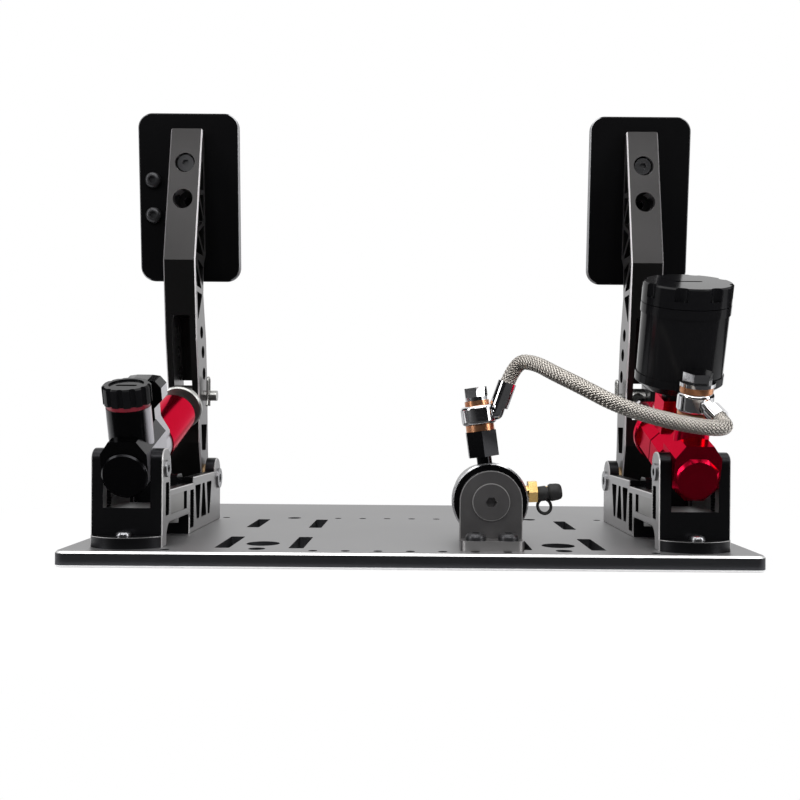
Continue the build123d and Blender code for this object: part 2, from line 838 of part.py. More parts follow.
# Brackets, arms and what they carry
for name, side in pedals.items():
    x = pedal_x * side
    save(bracket_piece(side), f"{name}_bracket")

    with BuildPart() as stop_block:
        with BuildSketch(side_plane(x - inner_width / 2 + side_gap, 0, 0)) as stop_outline:
            with Locations((stop_block_y, (stop_block_bottom_z + stop_block_top_z) / 2)):
                Rectangle(stop_block_length, stop_block_top_z - stop_block_bottom_z)
            fillet(stop_outline.vertices().group_by(Axis.Y)[-1], stop_round)
        extrude(amount=inner_width - 2 * side_gap)
        round_bar(side_plane(x + side * (inner_width / 2 - side_gap), stop_screw_y, stop_screw_z),
                  stop_screw_diameter + 2 * seat_gap,
                  side * (side_plate_thickness - stop_screw_length - blind_gap), Mode.SUBTRACT)
    save(stop_block, f"{name}_stop_block")

    with BuildPart() as bushes:
        for way in (-1, 1):
            start = side_plane(x + way * (arm_width / 2), arm_pivot_y, arm_pivot_z)
            flange = inner_width / 2 - arm_width / 2 - side_gap
            washer_shape(start, bush_flange_diameter, shaft_diameter + 2 * running_gap, way * flange)
            washer_shape(start, bush_diameter - 2 * seat_gap, shaft_diameter + 2 * running_gap,
                         -way * (arm_width / 2 - side_gap))
    save(bushes, f"{name}_bushes")

    save(arm_piece(side), f"{name}_arm")
    save(face_piece(side), f"{name}_face_plate")

    with BuildPart() as face_screw:
        with BuildSketch(face_plane(x, -face_floor)):
            with Locations((0, face_screw_rise)):
                Circle(face_screw_head_diameter / 2)
        extrude(amount=-face_screw_head_height)
        with BuildSketch(face_plane(x, -face_floor)):
            with Locations((0, face_screw_rise)):
                Circle(face_screw_diameter / 2)
        extrude(amount=face_floor + face_thickness - groove_depth - side_gap)
        with BuildSketch(face_plane(x, -face_floor - face_screw_head_height)):
            with Locations((0, face_screw_rise)):
                RegularPolygon(face_screw_head_diameter * socket_share / 2, side_count=6, major_radius=False)
        extrude(amount=socket_depth, mode=Mode.SUBTRACT)
    save(face_screw, f"{name}_face_screw")

    with BuildPart() as clevis_pin:
        pin_plane = side_plane(x + side * arm_width / 2, clevis_y, clevis_z)
        round_bar(pin_plane, clevis_head_diameter, side * clevis_head_height)
        round_bar(pin_plane, clevis_pin_diameter, -side * (arm_width + clevis_tail))
        clip_x = side * (pedal_x - arm_width / 2 - clip_inset)
        round_bar(Plane(origin=(clip_x, clevis_y, clevis_z - clevis_pin_diameter)),
                  clip_wire_diameter + 2 * seat_gap, 2 * clevis_pin_diameter, Mode.SUBTRACT)
    save(clevis_pin, f"{name}_clevis_pin")
    save(clip_piece(side), f"{name}_clip")

# Fasteners and pins of both brackets
with BuildPart() as arm_shafts:
    for side in (-1, 1):
        inner = side_plane(side * (pedal_x - bracket_width / 2), arm_pivot_y, arm_pivot_z)
        outer = side_plane(side * (pedal_x + bracket_width / 2), arm_pivot_y, arm_pivot_z)
        round_bar(inner, shaft_diameter, side * bracket_width)
        round_bar(inner, shaft_head_diameter, -side * shaft_head_height)
        hex_bar(inner.offset(-side * shaft_head_height), shaft_head_diameter * socket_share,
                side * socket_depth, Mode.SUBTRACT)
        round_bar(outer, shaft_thread_diameter + 2 * seat_gap,
                  -side * (shaft_thread_length + seat_gap), Mode.SUBTRACT)
save(arm_shafts, "arm_shafts")

with BuildPart() as shaft_caps:
    for side in (-1, 1):
        outer = side_plane(side * (pedal_x + bracket_width / 2), arm_pivot_y, arm_pivot_z)
        round_bar(outer, shaft_head_diameter, side * shaft_head_height)
        round_bar(outer, shaft_thread_diameter, -side * shaft_thread_length)
        hex_bar(outer.offset(side * shaft_head_height), shaft_head_diameter * socket_share,
                -side * thin_socket_depth, Mode.SUBTRACT)
save(shaft_caps, "shaft_caps")

with BuildPart() as rear_pins:
    for side in (-1, 1):
        inner = side_plane(side * (pedal_x - bracket_width / 2), cylinder_pin_y, cylinder_pin_z)
        round_bar(inner, rear_pin_diameter, side * bracket_width)
        round_bar(inner, rear_pin_head_diameter, -side * rear_pin_head_height)
        hex_bar(inner.offset(-side * rear_pin_head_height), rear_pin_head_diameter * socket_share,
                side * socket_depth, Mode.SUBTRACT)
save(rear_pins, "rear_pins")

with BuildPart() as lip_screws:
    for side in (-1, 1):
        seat = Plane(origin=(pedal_x * side, lip_screw_y, plate_thickness + lip_height))
        button_screw(lip_screws, seat, lip_screw_head_diameter, lip_screw_head_height,
                     bracket_screw_diameter, lip_screw_length)
save(lip_screws, "lip_screws")

with BuildPart() as under_screws:
    for place in under_places:
        seat = Plane(origin=(place[0], place[1], under_screw_head_height + counterbore_gap))
        round_bar(seat, under_screw_head_diameter, -under_screw_head_height)
        round_bar(seat, bracket_screw_diameter,
                  channel_floor_front_z - under_screw_head_height - 2 * counterbore_gap)
        hex_bar(seat.offset(-under_screw_head_height), under_screw_head_diameter * socket_share,
                socket_depth, Mode.SUBTRACT)
save(under_screws, "under_screws")

with BuildPart() as stop_screws:
    for side in (-1, 1):
        face_x = side * (pedal_x + bracket_width / 2 - screw_gap)
        seat = side_plane(side * (pedal_x + bracket_width / 2 - stop_screw_head_depth), stop_screw_y,
                          stop_screw_z)
        round_bar(seat, stop_screw_head_diameter, side * (stop_screw_head_depth - screw_gap))
        round_bar(seat, stop_screw_diameter, -side * (stop_screw_length - stop_screw_head_depth))
        hex_bar(side_plane(face_x, stop_screw_y, stop_screw_z),
                stop_screw_head_diameter * socket_share, -side * socket_depth, Mode.SUBTRACT)
save(stop_screws, "stop_screws")

with BuildPart() as side_panels:
    for side in (-1, 1):
        for way in (-1, 1):
            pocket = side_plane(
                pedal_x * side + way * (bracket_width / 2 - panel_recess),
                (panel_rear_y + panel_front_y) / 2,
                (panel_bottom_z + panel_top_z) / 2,
            )
            with BuildSketch(pocket):
                Rectangle(panel_front_y - panel_rear_y - 2 * seat_gap,
                          panel_top_z - panel_bottom_z - 2 * seat_gap)
            extrude(amount=way * panel_thickness)
save(side_panels, "side_panels")

with BuildPart() as side_screws:
    for place in side_screw_places():
        face_rear = face_plane(-pedal_x)
        seat = Plane(
            origin=face_rear.origin + face_rear.x_dir * place[0] + face_rear.y_dir * place[1],
            x_dir=(1, 0, 0),
            z_dir=face_rear.z_dir * -1,
        )
        button_screw(side_screws, seat, side_screw_head_diameter, side_screw_head_height,
                     side_screw_diameter, face_thickness - side_gap)
save(side_screws, "side_screws")

# Throttle cylinder
throttle_x = -pedal_x
tube_bore = tube_diameter - 2 * tube_wall
with BuildPart() as throttle_body:
    round_bar(axis_plane(throttle_x, -block_rear), block_diameter, block_rear + throttle_body_front)
    chamfer(outer_rim(throttle_body, axis_plane(throttle_x, -block_rear), 0, block_diameter / 2), cap_chamfer)
    shoulder_block(throttle_x, tower_rear)
    round_bar(axis_plane(throttle_x, throttle_body_front), tube_bore - 2 * seat_gap, spigot_length)
    round_bar(stack_plane(throttle_x, neck_along, neck_foot), neck_diameter, neck_top - neck_foot)
    with BuildSketch(axis_plane(throttle_x, tower_rear)):
        right = [(share[0] * tower_half_width, share[1] * tower_height) for share in tower_shares]
        left = [(-point[0], point[1]) for point in reversed(right)]
        with BuildLine():
            Polyline(right + left, close=True)
        make_face()
    extrude(amount=throttle_body_front - tower_rear)
    round_bar(stack_plane(throttle_x, neck_along, neck_top), neck_bore_diameter, neck_bore_floor - neck_top,
              Mode.SUBTRACT)
    round_bar(side_plane(throttle_x - block_diameter, cylinder_pin_y, cylinder_pin_z),
              rear_pin_diameter + 2 * running_gap, 2 * block_diameter, Mode.SUBTRACT)
save(throttle_body, "throttle_body")

with BuildPart() as throttle_seal:
    washer_shape(stack_plane(throttle_x, neck_along, neck_top), seal_ring_diameter, neck_bore_diameter,
                 seal_ring_height)
save(throttle_seal, "throttle_seal")

with BuildPart() as throttle_cap:
    cap_seat = stack_plane(throttle_x, neck_along, neck_top + seal_ring_height)
    cap_top = cap_seat.offset(throttle_cap_height)
    round_bar(cap_seat, throttle_cap_diameter, throttle_cap_height)
    chamfer(outer_rim(throttle_cap, cap_seat, throttle_cap_height, throttle_cap_diameter / 2), cap_chamfer)
    with BuildSketch(cap_seat):
        with PolarLocations(throttle_cap_diameter / 2, throttle_cap_scallops):
            Circle(scallop_diameter / 2)
    extrude(amount=throttle_cap_height, mode=Mode.SUBTRACT)
    round_bar(cap_seat, neck_bore_diameter - 2 * running_gap, -cap_spigot_depth)
    round_bar(cap_top, cap_recess_diameter, -cap_recess_depth, Mode.SUBTRACT)
    with BuildSketch(cap_top.offset(-cap_recess_depth)):
        SlotOverall(cap_slot_length, cap_slot_width)
    extrude(amount=-cap_slot_depth, mode=Mode.SUBTRACT)
save(throttle_cap, "throttle_cap")

with BuildPart() as throttle_tube:
    washer_shape(axis_plane(throttle_x, throttle_body_front), tube_diameter, tube_bore,
                 tube_front - throttle_body_front)
save(throttle_tube, "throttle_tube")

with BuildPart() as throttle_gland:
    washer_shape(axis_plane(throttle_x, tube_front - gland_length), tube_bore - 2 * seat_gap,
                 rod_diameter + 2 * running_gap, gland_length)
save(throttle_gland, "throttle_gland")


def rod_piece(x, bore, piston_front, eye_start):
    """A rod from its piston to the thread in its eye."""
    with BuildPart() as rod:
        round_bar(axis_plane(x, piston_front - piston_length), bore - 2 * running_gap, piston_length)
        round_bar(axis_plane(x, piston_front), rod_diameter, eye_start + eye_thread_length - piston_front)
    return rod


def eye_piece(x, start):
    """The eye at the end of a rod, threaded onto it."""
    with BuildPart() as eye:
        round_bar(axis_plane(x, start), eye_neck_diameter, cylinder_reach - start)
        round_bar(side_plane(x - eye_width / 2, clevis_y, clevis_z), 2 * eye_radius, eye_width)
        round_bar(side_plane(x - eye_width, clevis_y, clevis_z),
                  clevis_pin_diameter + 2 * open_pivot_gap, 2 * eye_width, Mode.SUBTRACT)
        round_bar(axis_plane(x, start), rod_diameter + 2 * seat_gap, eye_thread_length + seat_gap,
                  Mode.SUBTRACT)
    return eye


def nut_piece(x, start, flats, length):
    """A hexagonal nut on a rod."""
    with BuildPart() as nut:
        hex_bar(axis_plane(x, start), flats, length)
        round_bar(axis_plane(x, start), rod_diameter + 2 * seat_gap, length, Mode.SUBTRACT)
    return nut


throttle_eye_start = ring_rear + ring_thickness + throttle_nut_length
save(rod_piece(throttle_x, tube_bore, throttle_piston_front, throttle_eye_start), "throttle_rod")
with BuildPart() as throttle_ring:
    washer_shape(axis_plane(throttle_x, ring_rear), ring_diameter, rod_diameter + 2 * seat_gap,
                 ring_thickness)
    chamfer(outer_rim(throttle_ring, axis_plane(throttle_x, ring_rear), 0, ring_diameter / 2), cap_chamfer)
save(throttle_ring, "throttle_ring")
save(nut_piece(throttle_x, ring_rear + ring_thickness, throttle_nut_flats, throttle_nut_length),
     "throttle_nut")
save(eye_piece(throttle_x, throttle_eye_start), "throttle_eye")

# Brake cylinder
brake_x = pedal_x
with BuildPart() as brake_body:
    with BuildSketch(axis_plane(brake_x, -block_rear)):
        Circle(brake_face_diameter / 2)
    with BuildSketch(axis_plane(brake_x, brake_block_taper - block_rear)):
        RegularPolygon(block_diameter / 2, side_count=8, major_radius=False, rotation=octagon_turn)
    loft()
    with BuildSketch(axis_plane(brake_x, brake_block_taper - block_rear)):
        RegularPolygon(block_diameter / 2, side_count=8, major_radius=False, rotation=octagon_turn)
    extrude(amount=brake_body_rear + block_rear - brake_block_taper)
    shoulder_block(brake_x, brake_body_rear)
    round_bar(stack_plane(brake_x, port_along, port_boss_foot), port_boss_diameter,
              port_boss_top - port_boss_foot)
    with BuildSketch(axis_plane(brake_x, brake_body_rear)):
        RegularPolygon(brake_body_flats / 2, side_count=8, major_radius=False, rotation=octagon_turn)
    extrude(amount=brake_body_front - brake_body_rear)
    with BuildSketch(stack_plane(brake_x, feed_along, feed_block_foot)):
        Rectangle(feed_block_width, feed_block_width)
    extrude(amount=feed_block_top - feed_block_foot)
    with BuildSketch(axis_plane(brake_x, body_groove_along)):
        RegularPolygon(brake_body_flats, side_count=8, major_radius=False, rotation=octagon_turn)
        RegularPolygon(brake_body_flats / 2 - body_groove_depth, side_count=8, major_radius=False,
                       rotation=octagon_turn, mode=Mode.SUBTRACT)
        with Locations((0, brake_body_flats)):
            Rectangle(feed_block_width, 2 * brake_body_flats, mode=Mode.SUBTRACT)
    extrude(amount=body_groove_width, mode=Mode.SUBTRACT)
    round_bar(axis_plane(brake_x, master_bore_rear), master_bore_diameter,
              brake_body_front - master_bore_rear, Mode.SUBTRACT)
    round_bar(stack_plane(brake_x, feed_along, feed_block_top), feed_hole_diameter, -feed_block_top,
              Mode.SUBTRACT)
    round_bar(stack_plane(brake_x, port_along, port_boss_top), banjo_bolt_diameter + 2 * seat_gap,
              -banjo_bolt_depth - seat_gap, Mode.SUBTRACT)
    round_bar(side_plane(brake_x - block_diameter, cylinder_pin_y, cylinder_pin_z),
              rear_pin_diameter + 2 * running_gap, 2 * block_diameter, Mode.SUBTRACT)
save(brake_body, "brake_body")

with BuildPart() as brake_front_ring:
    washer_shape(axis_plane(brake_x, brake_body_front), front_ring_diameter,
                 rod_diameter + 2 * running_gap, front_ring_length)
    chamfer(outer_rim(brake_front_ring, axis_plane(brake_x, brake_body_front), 0, front_ring_diameter / 2),
            cap_chamfer)
save(brake_front_ring, "brake_front_ring")

brake_eye_start = brake_nut_rear + brake_nut_length
save(rod_piece(brake_x, master_bore_diameter, brake_piston_front, brake_eye_start), "brake_rod")
save(nut_piece(brake_x, brake_nut_rear, brake_nut_flats, brake_nut_length), "brake_nut")
save(eye_piece(brake_x, brake_eye_start), "brake_eye")

# Reservoir and its cap
reservoir_bore = reservoir_diameter - 2 * reservoir_wall
with BuildPart() as reservoir:
    round_bar(stack_plane(brake_x, feed_along, feed_block_top), reservoir_neck_diameter,
              reservoir_bottom - feed_block_top)
    with BuildSketch(stack_plane(brake_x, feed_along, reservoir_bottom)):
        Circle(reservoir_foot_diameter / 2)
    with BuildSketch(stack_plane(brake_x, feed_along, reservoir_band_bottom)):
        Circle(reservoir_band_diameter / 2)
    loft()
    round_bar(stack_plane(brake_x, feed_along, reservoir_band_bottom), reservoir_band_diameter,
              reservoir_band_top - reservoir_band_bottom)
    round_bar(stack_plane(brake_x, feed_along, reservoir_band_top), reservoir_diameter,
              reservoir_rim_bottom - reservoir_band_top)
    round_bar(stack_plane(brake_x, feed_along, reservoir_rim_bottom), reservoir_band_diameter,
              reservoir_rim_top - reservoir_rim_bottom)
    round_bar(stack_plane(brake_x, feed_along, reservoir_band_bottom), reservoir_bore,
              reservoir_rim_top - reservoir_band_bottom, Mode.SUBTRACT)
    round_bar(stack_plane(brake_x, feed_along, feed_block_top), feed_hole_diameter,
              reservoir_band_bottom - feed_block_top, Mode.SUBTRACT)
save(reservoir, "reservoir")

with BuildPart() as reservoir_cap:
    lid_seat = stack_plane(brake_x, feed_along, reservoir_cap_bottom)
    lid_top = lid_seat.offset(reservoir_cap_height)
    round_bar(lid_seat, reservoir_cap_diameter, reservoir_cap_height)
    chamfer(outer_rim(reservoir_cap, lid_seat, reservoir_cap_height, reservoir_cap_diameter / 2), cap_chamfer)
    with BuildSketch(lid_top):
        with PolarLocations(reservoir_cap_diameter / 2 + notch_diameter * notch_share / 2,
                            reservoir_cap_notches, octagon_turn):
            Circle(notch_diameter / 2)
    extrude(amount=-notch_height, mode=Mode.SUBTRACT)
    round_bar(lid_seat, reservoir_bore - 2 * running_gap, -reservoir_spigot_depth)
    with BuildSketch(lid_top):
        SlotOverall(reservoir_slot_length, cap_slot_width)
    extrude(amount=-cap_slot_depth, mode=Mode.SUBTRACT)
save(reservoir_cap, "reservoir_cap")


def washer_pieces(seat, below, ball, above, low_diameter, high_diameter):
    """The two sealing washers of a banjo fitting."""
    with BuildPart() as washers:
        washer_shape(seat, low_diameter, banjo_bolt_diameter + 2 * seat_gap, below)
        washer_shape(seat.offset(below + ball), high_diameter, banjo_bolt_diameter + 2 * seat_gap, above)
    return washers


def bolt_piece(seat, stack_height, flange_diameter, flats):
    """A banjo bolt through its fitting and washers."""
    head = seat.offset(stack_height)
    with BuildPart() as bolt:
        round_bar(seat.offset(-banjo_bolt_depth), banjo_bolt_diameter, banjo_bolt_depth + stack_height)
        round_bar(head, flange_diameter, bolt_flange_height)
        hex_bar(head.offset(bolt_flange_height), flats, bolt_hex_height)
    return bolt


def banjo_piece(seat, below, ball, target, elbow_reach, collar_length, trim_diameter):
    """A banjo fitting with an elbow and a collar, and the place inside the collar where the hose starts."""
    low = seat.offset(below)
    centre = seat.offset(below + ball / 2).origin
    aim = Vector(*target) - centre
    level = (aim - seat.z_dir * aim.dot(seat.z_dir)).normalized()
    elbow = centre + level * elbow_reach
    way = (Vector(*target) - elbow).normalized()
    with BuildPart() as banjo:
        round_bar(low, banjo_ball_diameter, ball)
        rims = outer_rim(banjo, low, 0, banjo_ball_diameter / 2)
        rims += outer_rim(banjo, low, ball, banjo_ball_diameter / 2)
        fillet(rims, ball_round)
        round_bar(Plane(origin=centre, z_dir=level), elbow_diameter, elbow_reach)
        with Locations(elbow):
            Sphere(elbow_diameter / 2)
        round_bar(Plane(origin=elbow, z_dir=way), elbow_diameter, collar_length - collar_depth)
        round_bar(Plane(origin=elbow + way * collar_start, z_dir=way), collar_diameter,
                  collar_length - collar_start)
        for start, depth in ((low, -elbow_trim), (low.offset(ball), elbow_trim)):
            round_bar(start, trim_diameter + 2 * side_gap, depth, Mode.SUBTRACT)
        round_bar(Plane(origin=elbow + way * (collar_length - collar_depth), z_dir=way),
                  hose_diameter + 2 * hose_seat_gap, collar_depth, Mode.SUBTRACT)
        round_bar(low, banjo_bolt_diameter + 2 * seat_gap, ball, Mode.SUBTRACT)
    return banjo, elbow + way * (collar_length - collar_depth)


# Port fitting on the brake cylinder
port_seat = stack_plane(brake_x, port_along, port_boss_top)
port_banjo, hose_start = banjo_piece(port_seat, port_washer_below, port_ball_height, hose_corners[0],
                                     port_elbow_reach, port_collar_length, port_flange_diameter)
save(port_banjo, "port_banjo")
save(washer_pieces(port_seat, port_washer_below, port_ball_height, port_washer_above, washer_diameter,
                   washer_diameter), "port_washers")
port_stack = port_washer_below + port_ball_height + port_washer_above
save(bolt_piece(port_seat, port_stack, port_flange_diameter, port_bolt_flats), "port_bolt")

# Slave cylinder
foot_top_z = plate_thickness + slave_foot_thickness
upright_front_y = slave_upright_rear_y + slave_upright_thickness
slave_end_y = upright_front_y + slave_body_length
with BuildPart() as slave_bracket:
    with BuildSketch(facing_plane(slave_x, slave_upright_rear_y, 0)):
        with Locations((0, (plate_thickness + slave_z) / 2)):
            Rectangle(slave_foot_width, slave_z - plate_thickness)
        with Locations((0, slave_z)):
            Circle(slave_foot_width / 2)
    extrude(amount=slave_upright_thickness)
    with BuildSketch(Plane.XY.offset(plate_thickness)) as foot_outline:
        with Locations((slave_x, (slave_foot_rear_y + upright_front_y) / 2)):
            Rectangle(slave_foot_width, upright_front_y - slave_foot_rear_y)
        fillet(foot_outline.vertices().group_by(Axis.Y)[0], slave_foot_round)
    extrude(amount=slave_foot_thickness)
    with BuildSketch(Plane.XY.offset(plate_thickness)):
        with Locations(slave_places):
            Circle(slave_screw_diameter / 2 + screw_gap)
    extrude(amount=slave_foot_thickness, mode=Mode.SUBTRACT)
    round_bar(facing_plane(slave_x, slave_upright_rear_y, slave_z),
              slave_plug_shank_diameter + 2 * seat_gap, slave_upright_thickness, Mode.SUBTRACT)
save(slave_bracket, "slave_bracket")

with BuildPart() as slave_screws:
    for place in slave_places:
        button_screw(slave_screws, Plane(origin=(place[0], place[1], foot_top_z)), slave_screw_head_diameter,
                     slave_screw_head_height, slave_screw_diameter, slave_screw_length)
save(slave_screws, "slave_screws")

with BuildPart() as slave_body:
    rim_plane = facing_plane(slave_x, upright_front_y, slave_z)
    round_bar(rim_plane, slave_rim_diameter, slave_rim_length)
    chamfer(outer_rim(slave_body, rim_plane, 0, slave_rim_diameter / 2), cap_chamfer)
    round_bar(rim_plane, slave_body_diameter, slave_body_length)
    round_bar(facing_plane(slave_x, slave_bore_rear_y, slave_z), slave_bore_diameter,
              slave_end_y - slave_bore_rear_y, Mode.SUBTRACT)
    round_bar(rim_plane, slave_plug_shank_diameter + 2 * seat_gap,
              slave_plug_shank_length - slave_upright_thickness + seat_gap, Mode.SUBTRACT)
    adaptor_foot = slave_rim_diameter / 2 - adaptor_stub_length
    round_bar(slave_plane(adaptor_foot - seat_gap), adaptor_stub_diameter + 2 * seat_gap,
              adaptor_stub_length + cut_overrun, Mode.SUBTRACT)
    round_bar(nipple_plane(nipple_start - nipple_depth - seat_gap), nipple_diameter + 2 * seat_gap,
              nipple_depth + cut_overrun, Mode.SUBTRACT)
save(slave_body, "slave_body")

with BuildPart() as slave_plug:
    plug_seat = facing_plane(slave_x, slave_upright_rear_y, slave_z)
    round_bar(plug_seat, slave_plug_diameter, -slave_plug_height)
    round_bar(plug_seat, slave_plug_shank_diameter, slave_plug_shank_length)
    hex_bar(plug_seat.offset(-slave_plug_height), slave_socket_width, slave_socket_depth, Mode.SUBTRACT)
save(slave_plug, "slave_plug")

with BuildPart() as slave_end_cap:
    round_bar(facing_plane(slave_x, slave_end_y - slave_cap_length, slave_z),
              slave_bore_diameter - 2 * seat_gap, slave_cap_length)
    hex_bar(facing_plane(slave_x, slave_end_y, slave_z), slave_socket_width * 2, -slave_socket_depth,
            Mode.SUBTRACT)
save(slave_end_cap, "slave_end_cap")

with BuildPart() as slave_piston:
    round_bar(facing_plane(slave_x, slave_piston_y, slave_z), slave_bore_diameter - 2 * seat_gap,
              slave_piston_length)
save(slave_piston, "slave_piston")

with BuildPart() as slave_pad:
    pad_start_y = slave_piston_y + slave_piston_length
    round_bar(facing_plane(slave_x, pad_start_y, slave_z), slave_pad_diameter,
              slave_end_y - slave_cap_length - pad_start_y)
save(slave_pad, "slave_pad")

slave_seat = slave_plane(adaptor_neck_top + adaptor_hex_height)
with BuildPart() as slave_adaptor:
    round_bar(slave_plane(slave_rim_diameter / 2 - adaptor_stub_length), adaptor_stub_diameter,
              adaptor_neck_top + adaptor_stub_length - slave_rim_diameter / 2)
    hex_bar(slave_plane(adaptor_neck_top), adaptor_flats, adaptor_hex_height)
    round_bar(slave_seat, banjo_bolt_diameter + 2 * seat_gap, -banjo_bolt_depth - seat_gap, Mode.SUBTRACT)
save(slave_adaptor, "slave_adaptor")

slave_banjo, hose_end = banjo_piece(slave_seat, slave_washer_below, slave_ball_height, hose_corners[-1],
                                    slave_elbow_reach, slave_collar_length, slave_high_washer_diameter)
save(slave_banjo, "slave_banjo")
save(washer_pieces(slave_seat, slave_washer_below, slave_ball_height, slave_washer_above,
                   slave_washer_diameter, slave_high_washer_diameter), "slave_washers")
slave_stack = slave_washer_below + slave_ball_height + slave_washer_above
save(bolt_piece(slave_seat, slave_stack, slave_flange_diameter, slave_bolt_flats), "slave_bolt")

with BuildPart() as bleed_nipple:
    round_bar(nipple_plane(nipple_start - nipple_depth), nipple_diameter, nipple_depth)
    hex_bar(nipple_plane(nipple_start), nipple_hex_flats, nipple_hex_length)
    round_bar(nipple_plane(nipple_start + nipple_hex_length), nipple_stem_diameter, nipple_stem_length)
save(bleed_nipple, "bleed_nipple")

with BuildPart() as bleed_cap:
    cap_start = nipple_start + nipple_hex_length + side_gap
    round_bar(nipple_plane(cap_start), bleed_cap_diameter, bleed_cap_length)
    round_bar(nipple_plane(cap_start), bleed_cap_lip_diameter, bleed_cap_lip_length)
    strap_plane = Plane(
        origin=nipple_plane(cap_start + strap_outer_radius).origin - Vector(0, strap_width / 2, strap_drop),
        x_dir=(1, 0, 0),
        z_dir=(0, 1, 0),
    )
    washer_shape(strap_plane, 2 * strap_outer_radius, 2 * strap_inner_radius, strap_width)
    round_bar(nipple_plane(cap_start), nipple_stem_diameter + 2 * seat_gap, nipple_stem_length, Mode.SUBTRACT)
save(bleed_cap, "bleed_cap")

# Hose
route = [hose_start] + [Vector(*corner) for corner in hose_corners] + [hose_end]
radii = []
for before, corner, after in zip(route, route[1:], route[2:]):
    arriving = corner - before
    leaving = after - corner
    turn = acos(max(-1.0, min(1.0, arriving.normalized().dot(leaving.normalized()))))
    radii.append(hose_turn_share * min(arriving.length, leaving.length) / tan(turn / 2))
    print("hose run", round(arriving.length, 1), "turn", round(degrees(turn), 1),
          "radius", round(radii[-1], 1))
with BuildPart() as brake_hose:
    with BuildLine() as hose_line:
        FilletPolyline(route, radius=radii)
    with BuildSketch(Plane(origin=hose_line.line @ 0, z_dir=hose_line.line % 0)):
        Circle(hose_diameter / 2)
    sweep()
section = pi * hose_diameter**2 / 4
hose_length = sum(edge.length for edge in hose_line.edges())
print("hose length", round(hose_length, 2), "volume", round(brake_hose.part.volume, 1),
      "section times length", round(section * hose_length, 1))
save(brake_hose, "brake_hose")
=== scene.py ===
# %% [markdown]
# A pair of sim racing pedals on a slotted plate, seen from behind, where the cylinders are. The metal pieces
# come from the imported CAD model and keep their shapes. This scene gives each one the finish of the real
# piece, and models what CAD leaves plain: the woven hose and the rubber cap on the bleed nipple.

import json
from math import cos, pi, radians, sin

import bmesh
import bpy
from mathutils import Matrix, Vector


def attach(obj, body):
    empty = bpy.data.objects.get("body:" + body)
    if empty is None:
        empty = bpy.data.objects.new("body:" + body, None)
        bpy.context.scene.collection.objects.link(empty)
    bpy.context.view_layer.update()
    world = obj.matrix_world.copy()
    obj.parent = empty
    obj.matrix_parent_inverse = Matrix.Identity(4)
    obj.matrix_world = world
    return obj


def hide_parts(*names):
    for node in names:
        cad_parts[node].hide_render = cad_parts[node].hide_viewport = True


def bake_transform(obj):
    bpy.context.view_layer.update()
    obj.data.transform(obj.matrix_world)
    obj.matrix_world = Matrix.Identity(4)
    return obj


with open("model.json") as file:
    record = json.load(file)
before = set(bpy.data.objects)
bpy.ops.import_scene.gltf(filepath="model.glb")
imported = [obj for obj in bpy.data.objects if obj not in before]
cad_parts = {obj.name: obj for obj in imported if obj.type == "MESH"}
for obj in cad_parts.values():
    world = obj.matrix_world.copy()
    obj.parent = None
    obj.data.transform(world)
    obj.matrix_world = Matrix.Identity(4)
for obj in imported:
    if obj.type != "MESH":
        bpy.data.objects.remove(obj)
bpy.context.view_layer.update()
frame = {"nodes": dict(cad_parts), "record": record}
bpy.ops.object.select_all(action="DESELECT")

# %% [markdown]
# A product camera stands close to the pedals, a little above the plate, and looks straight along the pedals'
# travel. Its tilt stays level, and the picture is moved with the lens shift, because a tilted camera would
# make the upright arms lean.

# %% Camera
scene = bpy.context.scene
view_roll = 0.0076
camera_place = (0.00275, -0.6959, 0.0890)
lens_mm = 41.175
lens_shift = (-0.0199, 0.0244)

bpy.ops.object.camera_add(location=camera_place)
camera = bpy.context.object
camera.name = "catalogue_camera"
right = Vector((cos(view_roll), 0, sin(view_roll)))
up = Vector((-sin(view_roll), 0, cos(view_roll)))
back = Vector((0, -1, 0))
camera.matrix_world = Matrix.Translation(camera_place) @ Matrix((right, up, back)).transposed().to_4x4()
camera.data.lens = lens_mm
camera.data.sensor_width = 36.0
camera.data.shift_x, camera.data.shift_y = lens_shift
camera.data.clip_start = 0.01
scene.camera = camera
scene.view_settings.view_transform = "Standard"
print("camera at", camera_place, "lens", lens_mm)

# %% [markdown]
# Polished and anodised metal shows its surroundings, so the light is a white room with large soft boxes. One
# hangs over the plate, one stands on each side, and one is high behind the camera, where the leaning faces of
# the pedal arms mirror it.

# %% Studio light
def soft_box(name, place, target, width, height, power):
    """A rectangular lamp that looks at a place."""
    bpy.ops.object.light_add(type="AREA", location=place)
    lamp = bpy.context.object
    lamp.name = name
    lamp.data.shape = "RECTANGLE"
    lamp.data.size, lamp.data.size_y = width, height
    lamp.data.energy = power
    aim = Vector(target) - Vector(place)
    lamp.rotation_euler = aim.to_track_quat("-Z", "Y").to_euler()
    return lamp


soft_box("overhead_box", place=(0, -0.25, 1.15), target=(0, -0.05, 0.05), width=1.5, height=0.7, power=9.0)
for name, way in (("left_box", -1), ("right_box", 1)):
    soft_box(name, place=(1.05 * way, -0.55, 0.45), target=(0, -0.05, 0.1), width=0.35, height=0.9, power=5.5)
soft_box("rear_box", place=(0, -1.45, 1.20), target=(0, 0, 0.2), width=1.7, height=0.42, power=13.0)

# %% [markdown]
# The room itself is the world's colour. The camera and every mirror see it pure white, and it lights the
# pedals with less than half of that, so the soft boxes and the shadows still show.

